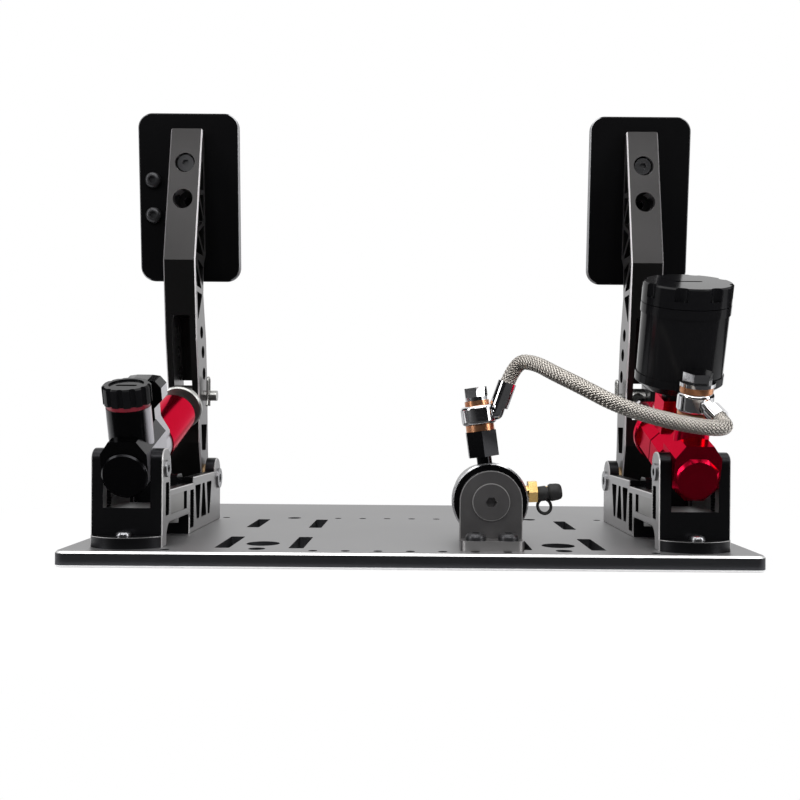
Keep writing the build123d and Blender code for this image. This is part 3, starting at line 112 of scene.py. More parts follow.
# %% White room
ambient_strength = 0.42
world = bpy.data.worlds.new("white_room")
scene.world = world
world.use_nodes = True
room = world.node_tree
room.nodes.clear()
path = room.nodes.new("ShaderNodeLightPath")
seen = room.nodes.new("ShaderNodeMath")
seen.operation = "MAXIMUM"
mirrored = room.nodes.new("ShaderNodeMath")
mirrored.operation = "MAXIMUM"
room.links.new(path.outputs["Is Glossy Ray"], mirrored.inputs[0])
room.links.new(path.outputs["Is Transmission Ray"], mirrored.inputs[1])
room.links.new(path.outputs["Is Camera Ray"], seen.inputs[0])
room.links.new(mirrored.outputs[0], seen.inputs[1])
ambient = room.nodes.new("ShaderNodeBackground")
ambient.inputs["Color"].default_value = (0.95, 0.96, 1.0, 1)
ambient.inputs["Strength"].default_value = ambient_strength
backdrop = room.nodes.new("ShaderNodeBackground")
backdrop.inputs["Color"].default_value = (1, 1, 1, 1)
backdrop.inputs["Strength"].default_value = 1.0
choice = room.nodes.new("ShaderNodeMixShader")
output = room.nodes.new("ShaderNodeOutputWorld")
room.links.new(seen.outputs[0], choice.inputs["Fac"])
room.links.new(ambient.outputs[0], choice.inputs[1])
room.links.new(backdrop.outputs[0], choice.inputs[2])
room.links.new(choice.outputs[0], output.inputs["Surface"])
print("world", world.name, "lights with", ambient_strength)

# %% [markdown]
# Black cloths stand behind the camera, at its sides and on the floor under it, because black and red gloss
# looks deep only when it has something dark to mirror. Each is a plane that only mirror rays meet, so it
# takes no light from the pedals.

# %% Black cloths
cloth_black = bpy.data.materials.new("black_velvet")
cloth_black.use_nodes = True
velvet = cloth_black.node_tree.nodes["Principled BSDF"]
velvet.inputs["Base Color"].default_value = (0.012, 0.012, 0.013, 1)
velvet.inputs["Roughness"].default_value = 0.95


def dark_cloth(name, place, turn, size):
    """A black cloth that only mirrors see, so that bright metal gets dark bands."""
    bpy.ops.mesh.primitive_plane_add(size=1.0, location=place, rotation=turn)
    cloth = bpy.context.object
    cloth.name = name
    cloth.scale = (*size, 1.0)
    bpy.ops.object.transform_apply(location=True, rotation=True, scale=True)
    cloth.data.materials.append(cloth_black)
    cloth.visible_camera = False
    cloth.visible_diffuse = False
    cloth.visible_shadow = False
    return cloth


cloth_reach = 1.9
cloth_height = 1.6
cloth_middle_z = 0.62
upright = radians(90)
dark_cloth("cloth_behind_camera", place=(0, -cloth_reach, cloth_middle_z), turn=(upright, 0, 0),
           size=(2 * cloth_reach, cloth_height))
for name, way in (("cloth_left", -1), ("cloth_right", 1)):
    dark_cloth(name, place=(cloth_reach * way, 0.05, cloth_middle_z), turn=(upright, 0, upright),
               size=(3.9, cloth_height))
dark_cloth("cloth_on_floor", place=(0, -1.019, 0.002), turn=(0, 0, 0), size=(3.6, 1.722))

# %% [markdown]
# Finishes repeat over the pieces, so each effect is a node group that is built once. Fine grain is the
# texture of blasted and anodised metal, brushing is grain pulled out along one way, and highlight faces are
# the side faces and slanted edges, found by their normals, where the finishes paint a lighter highlight.

# %% Shared effects
def group(name, inputs, outputs):
    """An empty shader node group with named sockets."""
    tree = bpy.data.node_groups.new(name, "ShaderNodeTree")
    for socket, value in inputs:
        kind = "NodeSocketVector" if isinstance(value, tuple) else "NodeSocketFloat"
        made = tree.interface.new_socket(socket, in_out="INPUT", socket_type=kind)
        made.default_value = value
    for socket, kind in outputs:
        tree.interface.new_socket(socket, in_out="OUTPUT", socket_type=kind)
    return tree, tree.nodes.new("NodeGroupInput"), tree.nodes.new("NodeGroupOutput")


def calc(tree, operation, first, second=None, third=None):
    """A Math node, fed by sockets or by plain numbers."""
    node = tree.nodes.new("ShaderNodeMath")
    node.operation = operation
    for slot, value in enumerate((first, second, third)):
        if value is None:
            continue
        if isinstance(value, (int, float)):
            node.inputs[slot].default_value = value
        else:
            tree.links.new(value, node.inputs[slot])
    return node.outputs[0]


def smooth_step(tree, value, low, high):
    """0 below low, 1 above high and a soft way between."""
    node = tree.nodes.new("ShaderNodeMapRange")
    node.interpolation_type = "SMOOTHSTEP"
    tree.links.new(value, node.inputs["Value"])
    node.inputs["From Min"].default_value = low
    node.inputs["From Max"].default_value = high
    return node.outputs["Result"]


def between(tree, value, rise, fall):
    """1 between two limits, with a soft way up and a soft way down."""
    return calc(tree, "SUBTRACT", smooth_step(tree, value, *rise), smooth_step(tree, value, *fall))


def inverse(tree, mask):
    """1 where a mask is 0, and 0 where it is 1."""
    return calc(tree, "SUBTRACT", 1.0, mask)


def object_place(tree):
    """The place on the piece, in metres."""
    return tree.nodes.new("ShaderNodeTexCoord").outputs["Object"]


def split(tree, vector):
    """The X, Y and Z of a vector, as sockets."""
    node = tree.nodes.new("ShaderNodeSeparateXYZ")
    tree.links.new(vector, node.inputs[0])
    return node.outputs


def facing(tree):
    """Which way the surface faces, as X, Y and Z."""
    return split(tree, tree.nodes.new("ShaderNodeTexCoord").outputs["Normal"])


def noise(tree, place, scale, detail=3.0, roughness=0.55):
    """Soft random cloud of a given scale."""
    node = tree.nodes.new("ShaderNodeTexNoise")
    node.inputs["Detail"].default_value = detail
    node.inputs["Roughness"].default_value = roughness
    tree.links.new(place, node.inputs["Vector"])
    if isinstance(scale, (int, float)):
        node.inputs["Scale"].default_value = scale
    else:
        tree.links.new(scale, node.inputs["Scale"])
    return node.outputs["Fac"]


grain, grain_in, grain_out = group(
    "fine_grain", [("Scale", 900.0), ("Cloud Scale", 22.0)],
    [("Grain", "NodeSocketFloat"), ("Cloud", "NodeSocketFloat")])
place = object_place(grain)
grain.links.new(noise(grain, place, grain_in.outputs["Scale"]), grain_out.inputs["Grain"])
grain.links.new(noise(grain, place, grain_in.outputs["Cloud Scale"]), grain_out.inputs["Cloud"])

brushing, brushing_in, brushing_out = group(
    "brushing", [("Stretch", (2500.0, 30.0, 2500.0))], [("Lines", "NodeSocketFloat")])
pulled = brushing.nodes.new("ShaderNodeVectorMath")
pulled.operation = "MULTIPLY"
brushing.links.new(object_place(brushing), pulled.inputs[0])
brushing.links.new(brushing_in.outputs["Stretch"], pulled.inputs[1])
brushing.links.new(noise(brushing, pulled.outputs[0], 1.0, 4.0, 0.6), brushing_out.inputs["Lines"])

# Side faces and slanted edges, by their normals: the masks for painted highlights.
highlight_faces, _, highlight_out = group(
    "highlight_faces", [], [("Side", "NodeSocketFloat"), ("Edge", "NodeSocketFloat"), ("Top", "NodeSocketFloat")])
normal = facing(highlight_faces)
across = calc(highlight_faces, "ABSOLUTE", normal["X"])
side = smooth_step(highlight_faces, across, 0.80, 0.92)
slanted = calc(highlight_faces, "SUBTRACT", smooth_step(highlight_faces, across, 0.18, 0.30), side)
highlight_faces.links.new(side, highlight_out.inputs["Side"])
highlight_faces.links.new(calc(highlight_faces, "MAXIMUM", slanted, 0.0), highlight_out.inputs["Edge"])
highlight_faces.links.new(smooth_step(highlight_faces, normal["Z"], 0.5, 0.9), highlight_out.inputs["Top"])
print("effects", [tree.name for tree in bpy.data.node_groups])

# %% [markdown]
# A finish is one Principled shader with its plain numbers on its own sockets. Only what changes over the
# surface comes through nodes: colour, roughness and the fine bump.

# %% A finish
def finish(name, metallic, roughness, coat=0.0, specular=0.5):
    """A new material with its Principled shader."""
    made = bpy.data.materials.new(name)
    made.use_nodes = True
    shader = made.node_tree.nodes["Principled BSDF"]
    shader.inputs["Metallic"].default_value = metallic
    shader.inputs["Roughness"].default_value = roughness
    shader.inputs["Coat Weight"].default_value = coat
    shader.inputs["Coat Roughness"].default_value = 0.08
    shader.inputs["Specular IOR Level"].default_value = specular
    return made, made.node_tree, shader


def use_group(tree, made, **values):
    """Places a shared effect in a material."""
    node = tree.nodes.new("ShaderNodeGroup")
    node.node_tree = made
    for name, value in values.items():
        node.inputs[name.replace("_", " ")].default_value = value
    return node


def blend_colour(tree, factor, first, second):
    """A mix of two colours, each a socket or three numbers."""
    node = tree.nodes.new("ShaderNodeMix")
    node.data_type = "RGBA"
    tree.links.new(factor, node.inputs["Factor"])
    for socket, value in ((node.inputs[6], first), (node.inputs[7], second)):
        if isinstance(value, tuple):
            socket.default_value = (*value, 1)
        else:
            tree.links.new(value, socket)
    return node.outputs[2]


def blend_value(tree, factor, low, high):
    """A number that goes from low to high with a mask."""
    return calc(tree, "MULTIPLY_ADD", factor, high - low, low)


def bump(tree, shader, height, depth, strength=0.4):
    """A fine relief, with its depth in metres."""
    node = tree.nodes.new("ShaderNodeBump")
    node.inputs["Strength"].default_value = strength
    node.inputs["Distance"].default_value = depth
    tree.links.new(height, node.inputs["Height"])
    tree.links.new(node.outputs["Normal"], shader.inputs["Normal"])


def grained(name, dark, light, metallic, rough, coat=0.0, scale=900.0, depth=0.00002, cloud=22.0,
            specular=0.5, rim_tint=(1, 1, 1)):
    """A blasted or moulded finish: two near colours in soft clouds, uneven gloss and fine relief."""
    made, tree, shader = finish(name, metallic, rough[0], coat, specular)
    shader.inputs["Specular Tint"].default_value = (*rim_tint, 1)
    effect = use_group(tree, grain, Scale=scale, Cloud_Scale=cloud)
    tree.links.new(blend_colour(tree, effect.outputs["Cloud"], dark, light), shader.inputs["Base Color"])
    tree.links.new(blend_value(tree, effect.outputs["Cloud"], rough[0], rough[1]), shader.inputs["Roughness"])
    bump(tree, shader, effect.outputs["Grain"], depth)
    return made


def machined(name, skin_dark, skin_light, highlight_colour, skin_rough, highlight_rough, metallic=0.9, side_highlight=1.0, edge_highlight=1.0,
             lip=None):
    """An anodised skin with a painted highlight, a lighter metal colour, on side faces and edges. A lip is
    black, but for a painted highlight line on its top edge.
    """
    made, tree, shader = finish(name, metallic, skin_rough)
    effect = use_group(tree, grain, Scale=1100.0, Cloud_Scale=18.0)
    lines = use_group(tree, brushing, Stretch=(2600.0, 2600.0, 120.0))
    highlight_group = use_group(tree, highlight_faces)
    # Side faces and edges get the lighter colour: a painted highlight.
    highlight_mask = calc(tree, "MULTIPLY", highlight_group.outputs["Side"], side_highlight)
    highlight_mask = calc(tree, "MAXIMUM", highlight_mask, calc(tree, "MULTIPLY", highlight_group.outputs["Edge"], edge_highlight))
    if lip is not None:
        lip_front_y, lip_top_z = lip
        spot = split(tree, object_place(tree))
        beyond = smooth_step(tree, spot["Y"], lip_front_y, lip_front_y + 0.0008)
        # The thin lighter line at the lip's top edge is a painted highlight.
        line = between(tree, spot["Z"], (lip_top_z - 0.0005, lip_top_z - 0.0002),
                       (lip_top_z, lip_top_z + 0.0002))
        line = calc(tree, "MULTIPLY", line, inverse(tree, highlight_group.outputs["Top"]))
        line = calc(tree, "MULTIPLY", line, inverse(tree, beyond))
        highlight_mask = calc(tree, "MAXIMUM", calc(tree, "MULTIPLY", highlight_mask, beyond), line)
    skin = blend_colour(tree, effect.outputs["Cloud"], skin_dark, skin_light)
    highlight_metal = blend_colour(tree, lines.outputs["Lines"], tuple(0.86 * v for v in highlight_colour), highlight_colour)
    tree.links.new(blend_colour(tree, highlight_mask, skin, highlight_metal), shader.inputs["Base Color"])
    tree.links.new(blend_value(tree, highlight_mask, skin_rough, highlight_rough), shader.inputs["Roughness"])
    bump(tree, shader, effect.outputs["Grain"], 0.00002, 0.3)
    return made


def rimmed(name, dark, light, highlight_colour, rough):
    """A turned or milled piece that lies along Y, with painted highlight rims on its edges, found by their
    slanted normals.
    """
    made, tree, shader = finish(name, 0.9, rough)
    effect = use_group(tree, grain, Scale=1000.0, Cloud_Scale=40.0)
    # Slanted faces get a lighter rim colour: a painted highlight.
    rim_highlight = between(tree, calc(tree, "ABSOLUTE", facing(tree)["Y"]), (0.30, 0.45), (0.85, 0.95))
    skin = blend_colour(tree, effect.outputs["Cloud"], dark, light)
    tree.links.new(blend_colour(tree, rim_highlight, skin, highlight_colour), shader.inputs["Base Color"])
    gloss = blend_value(tree, effect.outputs["Cloud"], rough, rough + 0.08)
    tree.links.new(gloss, shader.inputs["Roughness"])
    bump(tree, shader, effect.outputs["Grain"], 0.00002)
    return made


# %% [markdown]
# The floor is plain white paper that runs out of the picture. It holds the soft shadow under the plate, and
# it isn't part of the pedals. Far from them the camera sees it as pure white, so no horizon shows.

# %% Floor
bpy.ops.mesh.primitive_plane_add(size=8.0, location=(0, 0, -0.0004))
floor = bpy.context.object
floor.name = "paper_floor"
paper, paper_tree, paper_shader = finish("white_paper", 0.0, 0.9)
paper_grain = use_group(paper_tree, grain, Scale=60.0, Cloud_Scale=1.5)
paper_white = blend_colour(paper_tree, paper_grain.outputs["Cloud"], (0.93, 0.93, 0.93), (0.96, 0.96, 0.96))
paper_tree.links.new(paper_white, paper_shader.inputs["Base Color"])
paper_light = paper_tree.nodes.new("ShaderNodeEmission")
paper_light.inputs["Strength"].default_value = 1.0
paper_path = paper_tree.nodes.new("ShaderNodeLightPath")
paper_far = paper_tree.nodes.new("ShaderNodeVectorMath")
paper_far.operation = "LENGTH"
paper_tree.links.new(object_place(paper_tree), paper_far.inputs[0])
shadow_near, shadow_far = 0.18, 0.42
white_share_near = 0.72
paper_edge = smooth_step(paper_tree, paper_far.outputs["Value"], shadow_near, shadow_far)
paper_fade = blend_value(paper_tree, paper_edge, white_share_near, 1.0)
paper_seen = calc(paper_tree, "MULTIPLY", paper_path.outputs["Is Camera Ray"], paper_fade)
paper_mix = paper_tree.nodes.new("ShaderNodeMixShader")
paper_tree.links.new(paper_seen, paper_mix.inputs["Fac"])
paper_tree.links.new(paper_shader.outputs[0], paper_mix.inputs[1])
paper_tree.links.new(paper_light.outputs[0], paper_mix.inputs[2])
paper_tree.links.new(paper_mix.outputs[0], paper_tree.nodes["Material Output"].inputs["Surface"])
floor.data.materials.append(paper)
print("floor", floor.name, "fades to white from", shadow_near, "to", shadow_far, "m")

# %% [markdown]
# The plate is thick aluminium, blasted and anodised grey, with a chamfer all round. Its skin is a metal
# shader of a mid grey. The chamfer gets a near-white painted highlight, found by its slanted normal, so the
# edge of each slot that was cut at a slant gets it too, and the upright walls get a near-black painted shade.

# %% Grey plate
plate_grey, tree, shader = finish("grey_anodised_plate", 0.9, 0.42)
effect = use_group(tree, grain, Scale=1400.0, Cloud_Scale=9.0)
level = calc(tree, "ABSOLUTE", facing(tree)["Z"])
# Painted highlight on the chamfer.
chamfer_highlight = between(tree, level, (0.35, 0.6), (0.8, 0.95))
skin = blend_colour(tree, effect.outputs["Cloud"], (0.205, 0.203, 0.207), (0.250, 0.248, 0.252))
# Upright walls are painted near-black: painted shade.
shaded_walls = blend_colour(tree, smooth_step(tree, level, 0.8, 0.95), (0.045, 0.046, 0.05), skin)
tree.links.new(blend_colour(tree, chamfer_highlight, shaded_walls, (0.82, 0.82, 0.82)), shader.inputs["Base Color"])
tree.links.new(blend_value(tree, effect.outputs["Cloud"], 0.38, 0.5), shader.inputs["Roughness"])
bump(tree, shader, effect.outputs["Grain"], 0.00003)
print("plate", plate_grey.name)

# %% [markdown]
# Brackets and pedal arms are black anodised on every face, and their sides and edges get a painted highlight,
# a lighter metal colour. The two have the same finish, only the bracket is a little duller, because it is
# blasted first, and the lip at its foot stays black but for a painted highlight line along its top edge.

# %% Black anodised pieces
lip_front_y = -0.1366
lip_top_z = 0.0165
arm_black = machined("black_anodised_arm", (0.016, 0.0155, 0.0155), (0.028, 0.027, 0.027),
                     (0.62, 0.60, 0.61), 0.30, 0.36, side_highlight=0.26)
bracket_black = machined("black_anodised_bracket", (0.010, 0.010, 0.011), (0.020, 0.020, 0.022),
                         (0.55, 0.54, 0.54), 0.34, 0.38, side_highlight=0.6,
                         lip=(lip_front_y, lip_top_z))
# The face plates and the tower get the same painted highlight on their sides, and the drum gets it on its
# rims.
plate_black = machined("black_face_plate", (0.003, 0.003, 0.0035), (0.006, 0.006, 0.0065),
                       (0.30, 0.30, 0.31), 0.45, 0.4, 0.95, side_highlight=0.6)
gloss_black = grained("gloss_black_metal", (0.006, 0.006, 0.007), (0.012, 0.012, 0.013), 0.9,
                      (0.14, 0.22), 0.0, 1200.0, 0.000006)
tower_black = machined("gloss_black_tower", (0.006, 0.006, 0.007), (0.011, 0.011, 0.012),
                       (0.52, 0.51, 0.54), 0.16, 0.30, edge_highlight=0.0)
moulded_black = grained("gloss_black_moulding", (0.003, 0.003, 0.0035), (0.006, 0.006, 0.0065), 0.0,
                        (0.10, 0.16), 0.0, 500.0, 0.000008, specular=0.10)
oxide_black = grained("black_oxide_steel", (0.02, 0.02, 0.022), (0.05, 0.05, 0.053), 0.7, (0.3, 0.42))
drum_black = rimmed("gloss_black_drum", (0.007, 0.007, 0.008), (0.014, 0.014, 0.015), (0.45, 0.45, 0.46), 0.2)
print("black finishes", [made.name for made in (arm_black, bracket_black, plate_black, gloss_black,
                                                tower_black, moulded_black, oxide_black, drum_black)])

# %% [markdown]
# The slave cylinder's bracket is coated grey. A thin painted highlight line runs round its arch, and another
# lies round the plug in its middle. The lines are too thin to model, so they are found by how far each place
# is from the cylinder's axis, which is the centre of both. The rear edge of the foot is painted a little
# lighter than the rest too, a painted highlight.

# %% Grey slave bracket
slave_axis_x = 0.0499
slave_axis_z = 0.0380
arch_radius = 0.0195
plug_radius = 0.0113
foot_rear_y = -0.1430

slave_grey, tree, shader = finish("satin_grey_coat", 0.9, 0.36)
effect = use_group(tree, grain, Scale=1000.0, Cloud_Scale=40.0)
spot = split(tree, object_place(tree))
beside = calc(tree, "SUBTRACT", spot["X"], slave_axis_x)
above = calc(tree, "SUBTRACT", spot["Z"], slave_axis_z)
over = calc(tree, "MAXIMUM", above, 0.0)
beside_square = calc(tree, "MULTIPLY", beside, beside)
from_arch = calc(tree, "SQRT", calc(tree, "MULTIPLY_ADD", over, over, beside_square))
from_centre = calc(tree, "SQRT", calc(tree, "MULTIPLY_ADD", above, above, beside_square))
# Painted highlight lines round the arch and the plug, and a painted lighter rear edge of the foot.
arch_highlight = smooth_step(tree, from_arch, arch_radius - 0.0006, arch_radius - 0.0003)
ring_highlight = between(tree, from_centre, (plug_radius - 0.0002, plug_radius),
                    (plug_radius + 0.0003, plug_radius + 0.0005))
rear_face = smooth_step(tree, calc(tree, "MULTIPLY", facing(tree)["Y"], -1.0), 0.5, 0.8)
highlights_seen = calc(tree, "MULTIPLY", rear_face, calc(tree, "MAXIMUM", arch_highlight, ring_highlight))
lit_foot_rear = inverse(tree, smooth_step(tree, spot["Y"], foot_rear_y + 0.001, foot_rear_y + 0.003))
rim_highlight = calc(tree, "MAXIMUM", highlights_seen, calc(tree, "MULTIPLY", lit_foot_rear, 0.35))
skin = blend_colour(tree, effect.outputs["Cloud"], (0.130, 0.126, 0.127), (0.200, 0.194, 0.195))
tree.links.new(blend_colour(tree, rim_highlight, skin, (0.70, 0.69, 0.68)), shader.inputs["Base Color"])
tree.links.new(blend_value(tree, effect.outputs["Cloud"], 0.34, 0.42), shader.inputs["Roughness"])
bump(tree, shader, effect.outputs["Grain"], 0.00002)
print("slave bracket", slave_grey.name, "with its lines at radius", arch_radius, "and", plug_radius)

# %% [markdown]
# The red pieces are anodised: a clear dye over metal. The metal shader with a deep red gives the coloured
# highlights that paint doesn't have, and its rims are tinted too, because the dye lies over them as well.

# %% Red anodised pieces
anodised_red = grained("red_anodised_metal", (0.44, 0.002, 0.022), (0.54, 0.004, 0.032), 0.95,
                       (0.16, 0.24), 0.0, 1500.0, 0.000008, 30.0, rim_tint=(1.0, 0.42, 0.48))
seal_red = grained("red_rubber_seal", (0.12, 0.002, 0.010), (0.17, 0.004, 0.014), 0.0, (0.25, 0.35))
print("red finishes", anodised_red.name, "and", seal_red.name)

# %% [markdown]
# Plated and bare steel differ in how sharp they mirror the room. Chrome is nearly a mirror, turned steel has
# fine lines round its axis, and zinc is cloudy.

# %% Plated steel, copper and brass
chrome_bright = grained("polished_chrome", (0.60, 0.60, 0.61), (0.70, 0.70, 0.71), 1.0, (0.05, 0.10), 0.0,
                        800.0, 0.000004, 60.0)
zinc_grey = grained("zinc_plating", (0.32, 0.32, 0.31), (0.50, 0.50, 0.48), 1.0, (0.26, 0.38), 0.0, 1300.0,
                    0.00002, 120.0)
bolt_silver = grained("plated_bolt_steel", (0.20, 0.20, 0.21), (0.32, 0.32, 0.33), 1.0, (0.22, 0.34))
panel_silver, tree, shader = finish("brushed_silver_panel", 1.0, 0.3)
lines = use_group(tree, brushing, Stretch=(2500.0, 60.0, 3200.0))
tree.links.new(blend_colour(tree, lines.outputs["Lines"], (0.17, 0.165, 0.158), (0.28, 0.275, 0.265)),
               shader.inputs["Base Color"])
tree.links.new(blend_value(tree, lines.outputs["Lines"], 0.24, 0.40), shader.inputs["Roughness"])
bump(tree, shader, lines.outputs["Lines"], 0.00001)
copper_soft = grained("soft_copper", (0.62, 0.26, 0.12), (0.80, 0.42, 0.24), 1.0, (0.24, 0.36), 0.0, 900.0,
                      0.00001, 150.0)
brass_plain = grained("plain_brass", (0.66, 0.42, 0.14), (0.82, 0.58, 0.24), 1.0, (0.18, 0.30), 0.0, 900.0,
                      0.00001, 100.0)
bronze = grained("sintered_bronze", (0.36, 0.24, 0.12), (0.5, 0.35, 0.2), 0.9, (0.4, 0.55))
rubber_black = grained("moulded_rubber", (0.008, 0.008, 0.008), (0.016, 0.016, 0.016), 0.0, (0.45, 0.6), 0.0,
                       1600.0, 0.00004, specular=0.3)
print("materials so far", len(bpy.data.materials))

# %% [markdown]
# The record names a material slot for each CAD piece. Most pieces take the finish of their slot, and a few
# have one of their own, such as the brackets, whose painted highlights on the sides differ from the arms'.

# %% Dress the metal pieces
finishes = {
    "grey_anodised": plate_grey, "black_anodised": arm_black, "black_gloss": moulded_black,
    "red_anodised": anodised_red, "silver_panel": panel_silver, "zinc": zinc_grey,
    "chrome_steel": chrome_bright, "bolt_steel": bolt_silver, "black_steel": oxide_black,
    "copper": copper_soft, "brass_fitting": brass_plain, "bronze_bush": bronze,
    "soft_rubber": rubber_black, "red_seal": seal_red, "slave_grey": slave_grey, "steel_braid": bolt_silver,
}
own_finishes = {
    "throttle_bracket": bracket_black, "brake_bracket": bracket_black,
    "throttle_face_plate": plate_black, "brake_face_plate": plate_black,
    "throttle_body": tower_black, "throttle_gland": gloss_black, "slave_body": drum_black,
    "slave_adaptor": gloss_black, "slave_end_cap": drum_black, "slave_piston": drum_black,
    "throttle_face_screw": bolt_silver, "brake_face_screw": bolt_silver,
}
for entry in frame["record"]["subparts"]:
    node = frame["nodes"][entry["node"]]
    chosen = own_finishes.get(entry["node"], finishes[entry["material_slot"]])
    node.data.materials.clear()
    node.data.materials.append(chosen)

# %% [markdown]
# The brake hose is a rubber tube in a stainless braid. Its centreline is one smooth spline over the route's
# points, from the collar on the cylinder to the collar on the slave. The braid is 28 flat bands, 14 each
# way round, that pass over and under each other, and each band follows the centreline as a narrow ribbon.

# %% Hose centreline
hose_diameter = 0.0096
hose_route = [
    (0.18009, -0.14675, 0.09587), (0.18530, -0.15610, 0.08750), (0.18150, -0.16460, 0.08520),
    (0.16800, -0.16800, 0.08580), (0.14550, -0.16840, 0.09000), (0.11960, -0.16800, 0.09770),
    (0.09950, -0.16240, 0.10890), (0.08460, -0.14900, 0.11760), (0.07560, -0.13460, 0.12440),
    (0.06450, -0.12150, 0.12600), (0.05757, -0.11897, 0.10539),
]
bpy.ops.object.select_all(action="DESELECT")
line_data = bpy.data.curves.new("hose_line", "CURVE")
line_data.dimensions = "3D"
line_data.resolution_u = 24
spline = line_data.splines.new("NURBS")
spline.points.add(len(hose_route) - 1)
for point, spot in zip(spline.points, hose_route):
    point.co = (*spot, 1)
spline.order_u = 3
spline.use_endpoint_u = True
line = bpy.data.objects.new("hose_line", line_data)
scene.collection.objects.link(line)
bpy.context.view_layer.update()
line_mesh = bpy.data.meshes.new_from_object(line.evaluated_get(bpy.context.evaluated_depsgraph_get()))
walk = [v.co.copy() for v in line_mesh.vertices]
bpy.data.objects.remove(line)
hose_length = sum((b - a).length for a, b in zip(walk, walk[1:]))
print("hose length", round(hose_length * 1000, 1), "mm over", len(walk), "points")

# %% [markdown]
# A ribbon or a tube along a line needs a steady frame, so that it doesn't twist. Each step turns the last
# frame by as little as the line turns there.

# %% Steady frames along the hose
def even_steps(points, count):
    """Places at even distances along a line."""
    reach = [0.0]
    for a, b in zip(points, points[1:]):
        reach.append(reach[-1] + (b - a).length)
    steps, at = [], 0
    for number in range(count + 1):
        want = reach[-1] * number / count
        while at < len(points) - 2 and reach[at + 1] < want:
            at += 1
        share = (want - reach[at]) / max(reach[at + 1] - reach[at], 1e-9)
        steps.append(points[at].lerp(points[at + 1], share))
    return steps


def steady_frames(points):
    """For each place, two directions square to the line."""
    ways = [(b - a).normalized() for a, b in zip(points, points[1:])]
    ways.append(ways[-1])
    first = ways[0].orthogonal().normalized()
    frames = []
    for number, way in enumerate(ways):
        middle = way if number == 0 else (ways[number - 1] + way).normalized()
        first = (first - middle * first.dot(middle)).normalized()
        frames.append((first.copy(), middle.cross(first)))
    return frames


def ring_tube(mesh, rings, closed_ends=True):
    """Faces between rings of points, as one skin."""
    rows = [[mesh.verts.new(place) for place in ring] for ring in rings]
    size = len(rows[0])
    for low, high in zip(rows, rows[1:]):
        for corner in range(size):
            after = (corner + 1) % size
            mesh.faces.new((low[corner], low[after], high[after], high[corner]))
    if closed_ends:
        mesh.faces.new(list(reversed(rows[0])))
        mesh.faces.new(rows[-1])


# %% [markdown]
# The hose is a dark tube, painted shade for the gaps of the braid, with the bands wound over it, in one mesh
# with two materials. A band rises over every second band that it crosses and dips under the others, by a
# cosine of the way along the hose, and the two ways of winding rise and dip in turn. A band lies at a slant,
# so it is wider round the hose than square to itself. The hose ends in a collar on each side.

# %% Braided hose
band_count = 14
band_pitch = 0.034
band_half_width = 0.00068
band_half_thickness = 0.00020
weave_lift = 0.00017
core_radius = 0.00405
core_sides = 20
hose_steps = 400
slant_factor = 1.41
band_radius = hose_diameter / 2 - weave_lift - band_half_thickness
steps = even_steps(walk, hose_steps)
frames = steady_frames(steps)
spacing = hose_length / (len(steps) - 1)

braid = bmesh.new()
core = []
core_angles = [2 * pi * number / core_sides for number in range(core_sides)]
for place, (first, second) in zip(steps, frames):
    core.append([place + core_radius * (cos(angle) * first + sin(angle) * second) for angle in core_angles])
ring_tube(braid, core)
core_faces = len(braid.faces)
for turn in (1, -1):
    for band in range(band_count):
        rings = []
        for number, (place, (first, second)) in enumerate(zip(steps, frames)):
            run = number * spacing
            angle = turn * 2 * pi * run / band_pitch + 2 * pi * band / band_count
            radius = band_radius + turn * weave_lift * cos(2 * band_count * pi * run / band_pitch)
            outward = cos(angle) * first + sin(angle) * second
            around = -sin(angle) * first + cos(angle) * second
            middle = place + outward * radius
            half = band_half_width * slant_factor
            rings.append([middle - around * half, middle - outward * band_half_thickness,
                          middle + around * half, middle + outward * band_half_thickness])
        ring_tube(braid, rings)
hose_mesh = bpy.data.meshes.new("braided_hose")
bmesh.ops.recalc_face_normals(braid, faces=braid.faces)
for number, face in enumerate(braid.faces):
    face.material_index = 0 if number < core_faces else 1
    face.smooth = True
braid.to_mesh(hose_mesh)
braid.free()
hose = bpy.data.objects.new("braided_hose", hose_mesh)
scene.collection.objects.link(hose)

braid_steel, tree, shader = finish("stainless_braid", 1.0, 0.3)
effect = use_group(tree, grain, Scale=2600.0, Cloud_Scale=260.0)
tree.links.new(blend_colour(tree, effect.outputs["Cloud"], (0.34, 0.315, 0.285), (0.54, 0.51, 0.47)),
               shader.inputs["Base Color"])
tree.links.new(blend_value(tree, effect.outputs["Cloud"], 0.24, 0.38), shader.inputs["Roughness"])
bump(tree, shader, effect.outputs["Grain"], 0.00003)
# The core is dark grey: painted shade in the gaps between the bands.
core_shade = grained("braid_gap_shade", (0.10, 0.095, 0.088), (0.17, 0.16, 0.15), 1.0, (0.36, 0.46))
hose_mesh.materials.append(core_shade)
hose_mesh.materials.append(braid_steel)
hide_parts("brake_hose")
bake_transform(hose)
print("hose has", len(hose_mesh.polygons), "faces")

# %% [markdown]
# A soft rubber cap keeps dirt off the bleed nipple. It is moulded in one piece: a narrow neck, a bulb over
# the nipple's tip, and a strap with a loop that holds it when it is pulled off. The cap is one circle that is
# extruded and widened ring by ring along the nipple, and the strap is a ring that hangs from its neck.

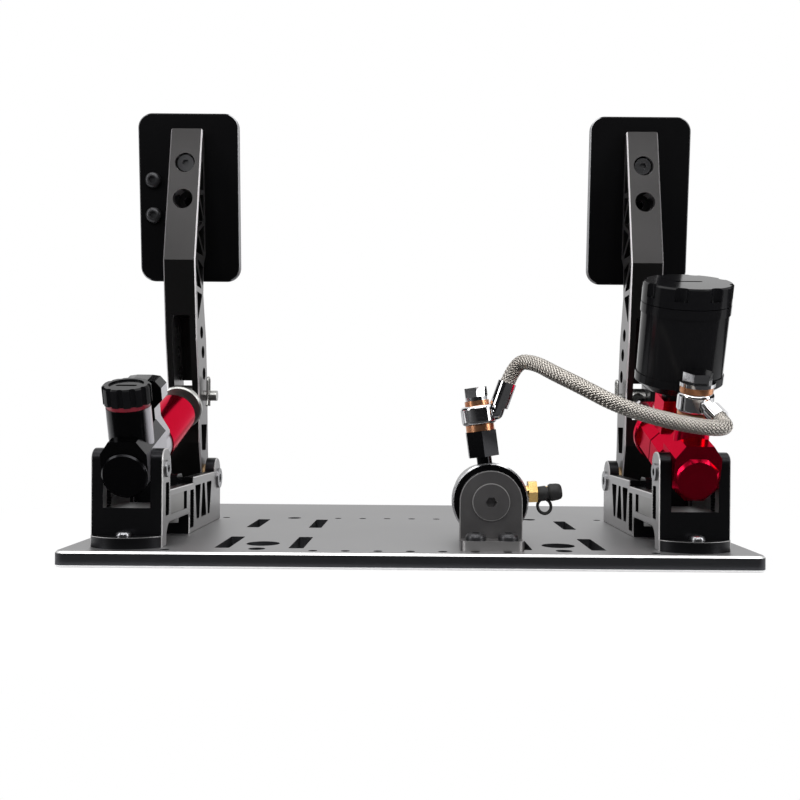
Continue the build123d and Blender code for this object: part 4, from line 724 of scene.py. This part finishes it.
# %% Bleed nipple cap
nipple_rise = radians(7.8)
nipple_axis = Vector((cos(nipple_rise), 0, sin(nipple_rise)))
nipple_root = Vector((slave_axis_x, -0.1146, slave_axis_z))
cap_start = nipple_root + nipple_axis * 0.0306
cap_rings = [(0.0000, 0.0044), (0.0008, 0.0048), (0.0052, 0.0048), (0.0060, 0.0042), (0.0068, 0.0042),
             (0.0076, 0.0052), (0.0086, 0.0056), (0.0126, 0.0053), (0.0146, 0.0047), (0.0154, 0.0036)]
cap_sides = 32
bpy.ops.object.select_all(action="DESELECT")
bpy.ops.mesh.primitive_circle_add(vertices=cap_sides, radius=cap_rings[0][1], fill_type="NGON")
nipple_cap = bpy.context.object
nipple_cap.name = "bleed_nipple_cap"
bpy.ops.object.mode_set(mode="EDIT")
bpy.ops.mesh.select_all(action="SELECT")
for (low, wide), (high, wider) in zip(cap_rings, cap_rings[1:]):
    bpy.ops.mesh.extrude_region_move(TRANSFORM_OT_translate={"value": (0, 0, high - low)})
    bpy.ops.transform.resize(value=(wider / wide, wider / wide, 1))
bpy.ops.mesh.select_all(action="SELECT")
bpy.ops.mesh.normals_make_consistent(inside=False)
bpy.ops.object.mode_set(mode="OBJECT")
nipple_cap.rotation_euler = nipple_axis.to_track_quat("Z", "Y").to_euler()
nipple_cap.location = cap_start
bpy.ops.object.transform_apply(location=True, rotation=True, scale=True)
bpy.ops.object.shade_smooth_by_angle(angle=radians(40))

loop_radius = 0.0042
loop_thickness = 0.0019
loop_middle = cap_start + nipple_axis * 0.0045 + Vector((0, 0, -0.0082))
bpy.ops.object.select_all(action="DESELECT")
bpy.ops.mesh.primitive_torus_add(major_segments=40, minor_segments=12, major_radius=loop_radius,
                                 minor_radius=loop_thickness / 2, location=loop_middle,
                                 rotation=(radians(90), radians(-20), 0))
strap = bpy.context.object
strap.name = "bleed_cap_strap"
strap.scale = (1.0, 1.12, 1.3)
bpy.ops.object.transform_apply(location=True, rotation=True, scale=True)
bpy.ops.object.shade_smooth()
for piece in (nipple_cap, strap):
    piece.data.materials.append(rubber_black)
    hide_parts("bleed_cap")
    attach(piece, "base")
print("cap faces", len(nipple_cap.data.polygons), "strap faces", len(strap.data.polygons))
